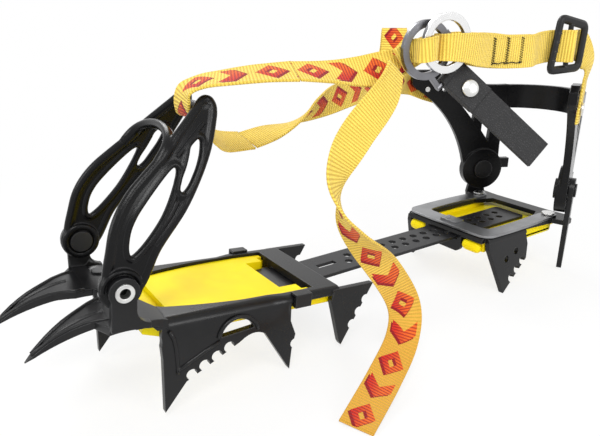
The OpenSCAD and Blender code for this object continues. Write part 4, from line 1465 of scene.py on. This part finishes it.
@dataclass
class Slide:
    """Moulded slide: a rounded frame, taller on the side of the rings, with a bar across it."""

    corners: tuple[tuple[float, float], ...] = ((0.8, -13.6), (23.6, -12.4), (24.6, 11.4), (4.2, 15.4))
    middle: float = 13.0
    out: float = 1.0
    corner: float = 3.2
    wire: float = 2.5
    wire_depth: float = 0.68
    bar: float = 1.6
    bar_depth: float = 0.95
    bar_half: float = 12.0
    grips: tuple[float, ...] = (-8.0, -3.0, 2.0, 7.0)
    grip: float = 0.5
    grip_half: float = 1.2
    grip_out: float = 1.45
    grip_at: float = 2.5
    grip_lean: float = 0.117

    def at(self, along: float, up: float, out: float = 0.0) -> Vector:
        """A point of the slide in metres, from its edge by the rings."""
        return Rings.point(Rings.slide_start + along, self.out + out, up) * MM

    def ring(self) -> list[Vector]:
        """Draw the middle line of the frame with rounded corners.

        Returns:
            Its points, the last on the first.
        """
        corners = [Vector(c) for c in self.corners]
        line = []
        for i, here in enumerate(corners):
            before, after = corners[i - 1], corners[(i + 1) % 4]
            enter = here + (before - here).normalized() * self.corner
            leave = here + (after - here).normalized() * self.corner
            for k in range(7):
                t = k / 6
                line.append(enter * (1 - t) ** 2 + here * 2 * t * (1 - t) + leave * t * t)
        line.append(line[0])
        return [self.at(v.x, v.y) for v in line]

    def build(self) -> bpy.types.Object:
        """Frame, bar and finger grips in one piece.

        Returns:
            The new object.
        """
        normal = Rings.outward()
        beads = [Bead(self.ring(), self.wire * MM, normal, 8, self.wire_depth, True)]
        bar = [self.at(self.middle, up) for up in (-self.bar_half, 0.0, self.bar_half)]
        beads.append(Bead(bar, self.bar * MM, normal, 8, self.bar_depth))
        for up in self.grips:
            lean = self.grip_at + up * self.grip_lean
            grip = [self.at(lean + t, up, self.grip_out) for t in (-self.grip_half, 0.0, self.grip_half)]
            beads.append(Bead(grip, self.grip * MM, normal, 6))
        piece = lines("slide_frame", beads, "slide", Palette.clip, "black_plastic", False)
        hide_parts("strap_slide")
        return piece


def ramp(value: float, start: float, reach: float) -> float:
    """Straight rise from zero at start to one after reach, which may be negative."""
    return min(1.0, max(0.0, (value - start) / reach))


@dataclass
class FrontFrame:
    """Front frame with the soft shoulders of a pressing: its solid, cut finer and drawn in."""

    draw: float = 2.4
    depth: float = 17.0
    levels: tuple[float, ...] = (-0.8, -1.8, -3.0, -4.2, -5.6, -7.2, -9.0, -11.0, -13.4, -17.0)
    stations: tuple[float, ...] = (-105.0, -102.0, -99.5, -97.0, -38.0, -35.0, -32.0, -29.0)
    front: tuple[float, float] = (-105.0, 8.0)
    back: tuple[float, float] = (-29.0, -9.0)
    shoulder: tuple[float, float] = (28.5, 3.0)
    corner_x: tuple[float, float] = (-132.0, -120.5)
    corner_y: tuple[float, float] = (27.0, 37.4)
    corner_z: tuple[float, float] = (9.0, 18.5)
    corner_reach: tuple[float, float, float] = (-120.0, 20.0, 9.0)
    cuts_x: tuple[int, int, int] = (-132, -119, 2)
    cuts_y: tuple[int, int, int] = (26, 38, 2)
    merge: float = 2e-5
    flat: float = 0.5
    sharp: float = 24.0

    def inset(self, x: float, y: float, z: float) -> float:
        """How far a point of the wall is drawn in, in millimetres.

        Args:
            x: place along the level plate.
            y: distance from the middle.
            z: height over the level plate.

        Returns:
            The draw, full at the top edge of the wall and nothing at its foot.
        """
        high = ramp(z, -self.depth, self.depth) ** 2
        ends = ramp(x, *self.front) * ramp(x, *self.back)
        return self.draw * high * ends * ramp(y, *self.shoulder)

    def rounded(self, x: float, y: float, z: float) -> float:
        """Distance from the middle of a point on the far side, held in at the plate's front corner.

        Args:
            x: place along the object, in millimetres.
            y: distance from the middle.
            z: height.

        Returns:
            The distance it is given.
        """
        (ahead, behind), (slim, wide), (low, high) = self.corner_x, self.corner_y, self.corner_z
        if ahead < x < behind and low < z < high:
            return min(y, slim + (wide - slim) * ((x - ahead) / (behind - ahead)) ** 2)
        return y

    def cut(self, bm: bmesh.types.BMesh, normal: Vector, places: Sequence[float],
            geom: list[Any]) -> None:
        """Split faces by planes at several places along a direction.

        Args:
            bm: the mesh.
            normal: the direction.
            places: distances along it in millimetres.
            geom: what is split, which is brought up to date.
        """
        for place in places:
            geom[:] = bmesh.ops.bisect_plane(
                bm, geom=geom, dist=1e-6, plane_co=normal * place * MM, plane_no=normal)["geom"]

    def by_corner(self, face: bmesh.types.BMFace) -> bool:
        """Tell the faces by the far front corner of the plate.

        Args:
            face: a face of the frame.

        Returns:
            Whether it lies there.
        """
        x, y, z = (reach * MM for reach in self.corner_reach)
        return (face.calc_center_median().y > y and max(v.co.z for v in face.verts) > z
                and min(v.co.x for v in face.verts) < x)

    def build(self) -> bpy.types.Object:
        """Cut, draw in and round the far corner of the plate.

        Returns:
            The new object.
        """
        c, s = math.cos(PLATE_PITCH), math.sin(PLATE_PITCH)
        bm = bmesh.new()
        bm.from_mesh(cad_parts["front_frame"].data)
        bmesh.ops.remove_doubles(bm, verts=bm.verts, dist=1e-6)
        self.cut(bm, Vector((s, 0, c)), self.levels, [*bm.verts, *bm.edges, *bm.faces])
        self.cut(bm, Vector((c, 0, -s)), self.stations, [*bm.verts, *bm.edges, *bm.faces])
        local = [f for f in bm.faces if self.by_corner(f)]
        geom = [*{v for f in local for v in f.verts}, *{e for f in local for e in f.edges}, *local]
        self.cut(bm, Vector((1, 0, 0)), range(*self.cuts_x), geom)
        self.cut(bm, Vector((0, 1, 0)), range(*self.cuts_y), geom)
        for vert in bm.verts:
            x, y, z = vert.co / MM
            side = 1 if y > 0 else -1
            y = abs(y) - self.inset(x * c - z * s, abs(y), z * c + x * s)
            vert.co.y = side * (self.rounded(x, y, z) if side > 0 else y) * MM
        bmesh.ops.remove_doubles(bm, verts=bm.verts, dist=self.merge)
        bmesh.ops.dissolve_limit(bm, angle_limit=math.radians(self.flat), verts=bm.verts, edges=bm.edges)
        bmesh.ops.triangulate(bm, faces=bm.faces)
        bmesh.ops.recalc_face_normals(bm, faces=bm.faces)
        piece = link("front_frame_pressed", bm, Palette.steel)
        piece.data.set_sharp_from_angle(angle=math.radians(self.sharp))
        even = piece.modifiers.new("even_faces", "WEIGHTED_NORMAL")
        even.keep_sharp = True
        even.weight = 100
        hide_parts("front_frame")
        return settle(piece, "front", "black_steel")


@dataclass
class PressedBeads:
    """Raised lines pressed into the front points and the side walls of the front part."""

    wall: float = 36.5
    sunk: float = 0.1
    lead: float = 12.0
    radius: float = 1.0
    rim: tuple[tuple[float, float], ...] = (
        (-94.6, -5.3), (-92.5, -9.4), (-91.4, -14.4), (-90.7, -19.8), (-90.2, -24.0), (-90.0, -28.5))
    crease: tuple[tuple[float, float], ...] = (
        (-90.4, -26.9), (-84.0, -23.8), (-76.3, -19.7), (-68.4, -16.1))
    window: tuple[float, float] = (-58.0, -16.5)
    window_radii: tuple[float, float] = (11.7, 11.4)
    window_arc: tuple[int, int, int] = (12, 169, 12)
    nose: tuple[tuple[float, float, float, float], ...] = (
        (-151.0, 20.3, 19.1, 4.5), (-148.0, 21.1, 18.3, 6.7), (-144.0, 21.9, 16.9, 9.3),
        (-140.0, 22.7, 15.5, 11.4), (-136.0, 23.5, 14.1, 13.1), (-132.0, 24.3, 12.7, 14.3),
        (-128.0, 25.2, 11.3, 15.3), (-123.5, 27.2, 9.0, 15.9), (-118.0, 29.0, 6.5, 16.1),
        (-113.0, 30.0, 4.6, 15.9))
    nose_tip: float = -152.0
    nose_lead: float = 8.0
    nose_rise: float = 0.022

    def rims(self, far: bool) -> list[Bead]:
        """Raised rims of a front point, from its tip to the plate.

        Args:
            far: whether it is the far point.

        Returns:
            The outer and the inner rim.
        """
        side, shift, rise = (1, -self.nose_lead, self.nose_rise) if far else (-1, 0.0, 0.0)
        outer, inner = [], []
        for x, wide, slim, z in self.nose:
            high = z + rise * (x - self.nose_tip)
            outer.append(Vector((x + shift, side * wide, high)) * MM)
            inner.append(Vector((x + shift, side * slim, high)) * MM)
        return [Bead(points, self.radius * MM, Vector(UP), 8) for points in (outer, inner)]

    def at(self, x: float, z: float, far: bool) -> Vector:
        """A point of a wall.

        Args:
            x: place along the level plate, in millimetres.
            z: height over the level plate.
            far: whether it is the far wall.

        Returns:
            The point in metres, pitched with the plate.
        """
        c, s = math.cos(PLATE_PITCH), math.sin(PLATE_PITCH)
        y = (self.wall - self.sunk) * (1 if far else -1)
        return Vector((x * c + z * s, y, z * c - x * s)) * MM

    def build(self) -> bpy.types.Object:
        """Rims on both points, and a rim, a crease and an arch on both walls.

        Returns:
            The new object.
        """
        beads = []
        for far in (False, True):
            beads += self.rims(far)
            shift = -self.lead if far else 0.0
            normal = Vector((0, 1 if far else -1, 0))
            (x, z), (long, high) = self.window, self.window_radii
            turns = [math.radians(a) for a in range(*self.window_arc)]
            arch = [self.at(x + long * math.cos(a), z + high * math.sin(a), far) for a in turns]
            walls = [[self.at(x + shift, z, far) for x, z in line] for line in (self.rim, self.crease)]
            beads += [Bead(points, self.radius * MM, normal, 8) for points in (*walls, arch)]
        return lines("pressed_beads", beads, "front", Palette.steel, "black_steel")


@dataclass
class Bosses:
    """Raised rings round the toe pivots, and the domed cap of the tab's rivet."""

    cage_out: float = 36.25
    cage_in: float = 31.75
    ring: tuple[tuple[float, float], ...] = (
        (6.2, -0.3), (6.2, 1.0), (6.6, 1.35), (8.6, 1.35), (9.15, 0.9), (9.3, -0.3), (6.2, -0.3))
    arc: tuple[tuple[float, float], ...] = (
        (7.4, -0.3), (7.4, 0.8), (7.8, 1.2), (8.8, 1.2), (9.2, 0.8), (9.35, -0.3), (7.4, -0.3))
    dome: tuple[tuple[float, float], ...] = (
        (4.7, 0.0), (4.7, 0.9), (4.35, 1.3), (3.4, 1.8), (2.2, 2.1), (1.0, 2.25), (0.0, 2.28))
    arc_angle: float = 170.0
    arc_begin: float = 5.0
    sharp: float = 50.0
    tab_lean: float = math.radians(46.0)
    tab_hinge: tuple[float, float, float] = (20.5, 0.0, 4.0)
    tab_turn: float = math.radians(-25.0)
    cap_at: tuple[float, float, float] = (13.0, -2.1, 0.0)

    def build(self) -> None:
        """Rings on the cage and the cap on the tab."""
        bm = bmesh.new()
        x, z = TOE_PIVOT
        for side in (-1, 1):
            Turned(self.ring, facing(Vector((x, side * self.cage_in, z)) * MM, -side)).spin(bm)
            begin = math.radians(self.arc_begin + (180.0 if side > 0 else 0.0))
            outside = facing(Vector((x, side * self.cage_out, z)) * MM, side)
            Turned(self.arc, outside @ Matrix.Rotation(begin, 4, "Z"), self.arc_angle).spin(bm)
        piece = link("pivot_bosses", bm, Palette.cage)
        piece.data.set_sharp_from_angle(angle=math.radians(self.sharp))
        settle(piece, "toe_cage", "black_plastic")
        cap = bmesh.new()
        tab = (Matrix.Translation(Rings.centre) @ Matrix.Rotation(-Rings.turn, 4, "Z")
               @ Matrix.Rotation(self.tab_lean, 4, "Y") @ Matrix.Translation(self.tab_hinge)
               @ Matrix.Rotation(self.tab_turn, 4, "Z") @ facing(Vector(self.cap_at), -1))
        tab.translation *= MM
        Turned(self.dome, tab).spin(cap)
        settle(link("tab_rivet_cap", cap, Palette.rivet), "tab", "rivet_steel")


@dataclass
class SteelWork:
    """Frames, bar, lock, rivets and rings, dressed as they are."""

    finishes: dict[str, Finish] = field(default_factory=lambda: {
        "heel_frame": Palette.steel, "front_plate_rivet": Palette.steel, "heel_pivots": Palette.steel,
        "linking_bar": Palette.bar, "toe_rivets": Palette.capped,
        "lock_rivets": Palette.rivet, "strap_rivets": Palette.rivet, "tab_rivet": Palette.rivet,
        "lock_peg": Palette.spring, "ring_dark": Palette.dark_ring,
        "ring_silver": Palette.bright_ring})

    def dress(self) -> None:
        """Give every steel node its finish and add the front frame, lock plate and pressed beads."""
        dress_nodes(self.finishes)
        FrontFrame().build()
        LockPlate().build()
        PressedBeads().build()


@dataclass
class MouldedWork:
    """Cages, snow plates, clips, slide and tab."""

    finishes: dict[str, Finish] = field(default_factory=lambda: {
        "heel_cage": Palette.cage, "snow_plate_clips": Palette.clip, "front_snow_plate": Palette.snow,
        "pull_tab": Palette.tab})

    def dress(self) -> None:
        """Give every moulded node its finish and add the toe cage, tray, slide and bosses."""
        dress_nodes(self.finishes)
        ToeCage().build()
        HeelTray().build()
        Slide().build()
        Bosses().build()


def dress_nodes(finishes: dict[str, Finish]) -> None:
    """Put finishes on solids.

    Args:
        finishes: node name to finish.
    """
    for name, finish in finishes.items():
        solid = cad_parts[name]
        solid.data.materials.clear()
        solid.data.materials.append(finish.material())
        LOG.info("%s: %s", name, finish.name)


@dataclass(frozen=True)
class Lamp:
    """A square soft box: where it hangs, the point it faces, its side in metres and its watts."""

    name: str
    at: tuple[float, float, float]
    aim: tuple[float, float, float]
    size: float
    power: float

    def hang(self) -> None:
        """Put the lamp into the scene."""
        light = bpy.data.lights.new(self.name, "AREA")
        light.size = self.size
        light.energy = self.power
        lamp = bpy.data.objects.new(self.name, light)
        lamp.location = self.at
        lamp.rotation_euler = (Vector(self.aim) - Vector(self.at)).to_track_quat("-Z", "Y").to_euler()
        bpy.context.scene.collection.objects.link(lamp)


@dataclass
class Studio:
    """Floor, light and camera."""

    eye: tuple[float, float, float] = (-0.172, -0.257, 0.142)
    heading: float = 34.243
    pitch: float = 19.745
    lens: float = 33.6
    sensor: float = 36.0
    nearest: float = 0.01
    floor_half: float = 6.0
    soft_light: float = 0.5
    lamps: tuple[Lamp, ...] = (
        Lamp("key", (-0.45, -0.55, 1.0), (0.02, 0.0, 0.03), 0.45, 7.0),
        Lamp("fill", (0.25, -0.95, 0.45), (0.0, 0.0, 0.06), 0.4, 3.2),
        Lamp("back", (0.25, 0.85, 0.8), (0.05, 0.0, 0.05), 0.5, 5.0),
        Lamp("side", (-0.95, 0.1, 0.45), (0.0, 0.0, 0.04), 0.4, 3.0))

    def build(self) -> None:
        """Set up the whole studio."""
        self.floor()
        self.world()
        for lamp in self.lamps:
            lamp.hang()
        self.camera()

    def floor(self) -> None:
        """Lay the floor under the points."""
        bm = bmesh.new()
        bmesh.ops.create_grid(bm, x_segments=1, y_segments=1, size=self.floor_half)
        bmesh.ops.translate(bm, verts=bm.verts, vec=(0, 0, FLOOR_Z))
        floor = link("floor", bm, Palette.floor, smooth=False)

    def world(self) -> None:
        """White for the camera and for gloss, soft light for the object."""
        world = bpy.data.worlds.new("studio")
        bpy.context.scene.world = world
        world.use_nodes = True
        graph = Graph.of(world.node_tree)
        soft = graph.node("ShaderNodeBackground", None, {"Color": WHITE, "Strength": self.soft_light})
        white = graph.node("ShaderNodeBackground", None, {"Color": WHITE, "Strength": 1.0})
        mixed = graph.node("ShaderNodeMixShader", None, [graph.backdrop(), soft, white])
        graph.add("ShaderNodeOutputWorld", None, {"Surface": mixed})

    def camera(self) -> None:
        """The photograph's view."""
        data = bpy.data.cameras.new("view")
        data.lens = self.lens
        data.sensor_width = self.sensor
        data.sensor_fit = "HORIZONTAL"
        data.clip_start = self.nearest
        camera = bpy.data.objects.new("view", data)
        camera.location = self.eye
        camera.rotation_euler = (math.radians(90 - self.pitch), 0.0, math.radians(-self.heading))
        bpy.context.scene.collection.objects.link(camera)
        bpy.context.scene.camera = camera
        bpy.context.scene.view_settings.view_transform = "Standard"


def main() -> None:
    """Dress the crampon piece by piece."""
    logging.basicConfig(level=logging.INFO, format="%(name)s %(message)s")
    Studio().build()
    StrapWork().build()
    BarTacks().build()
    SteelWork().dress()
    MouldedWork().dress()


if __name__ == "__main__":
    main()
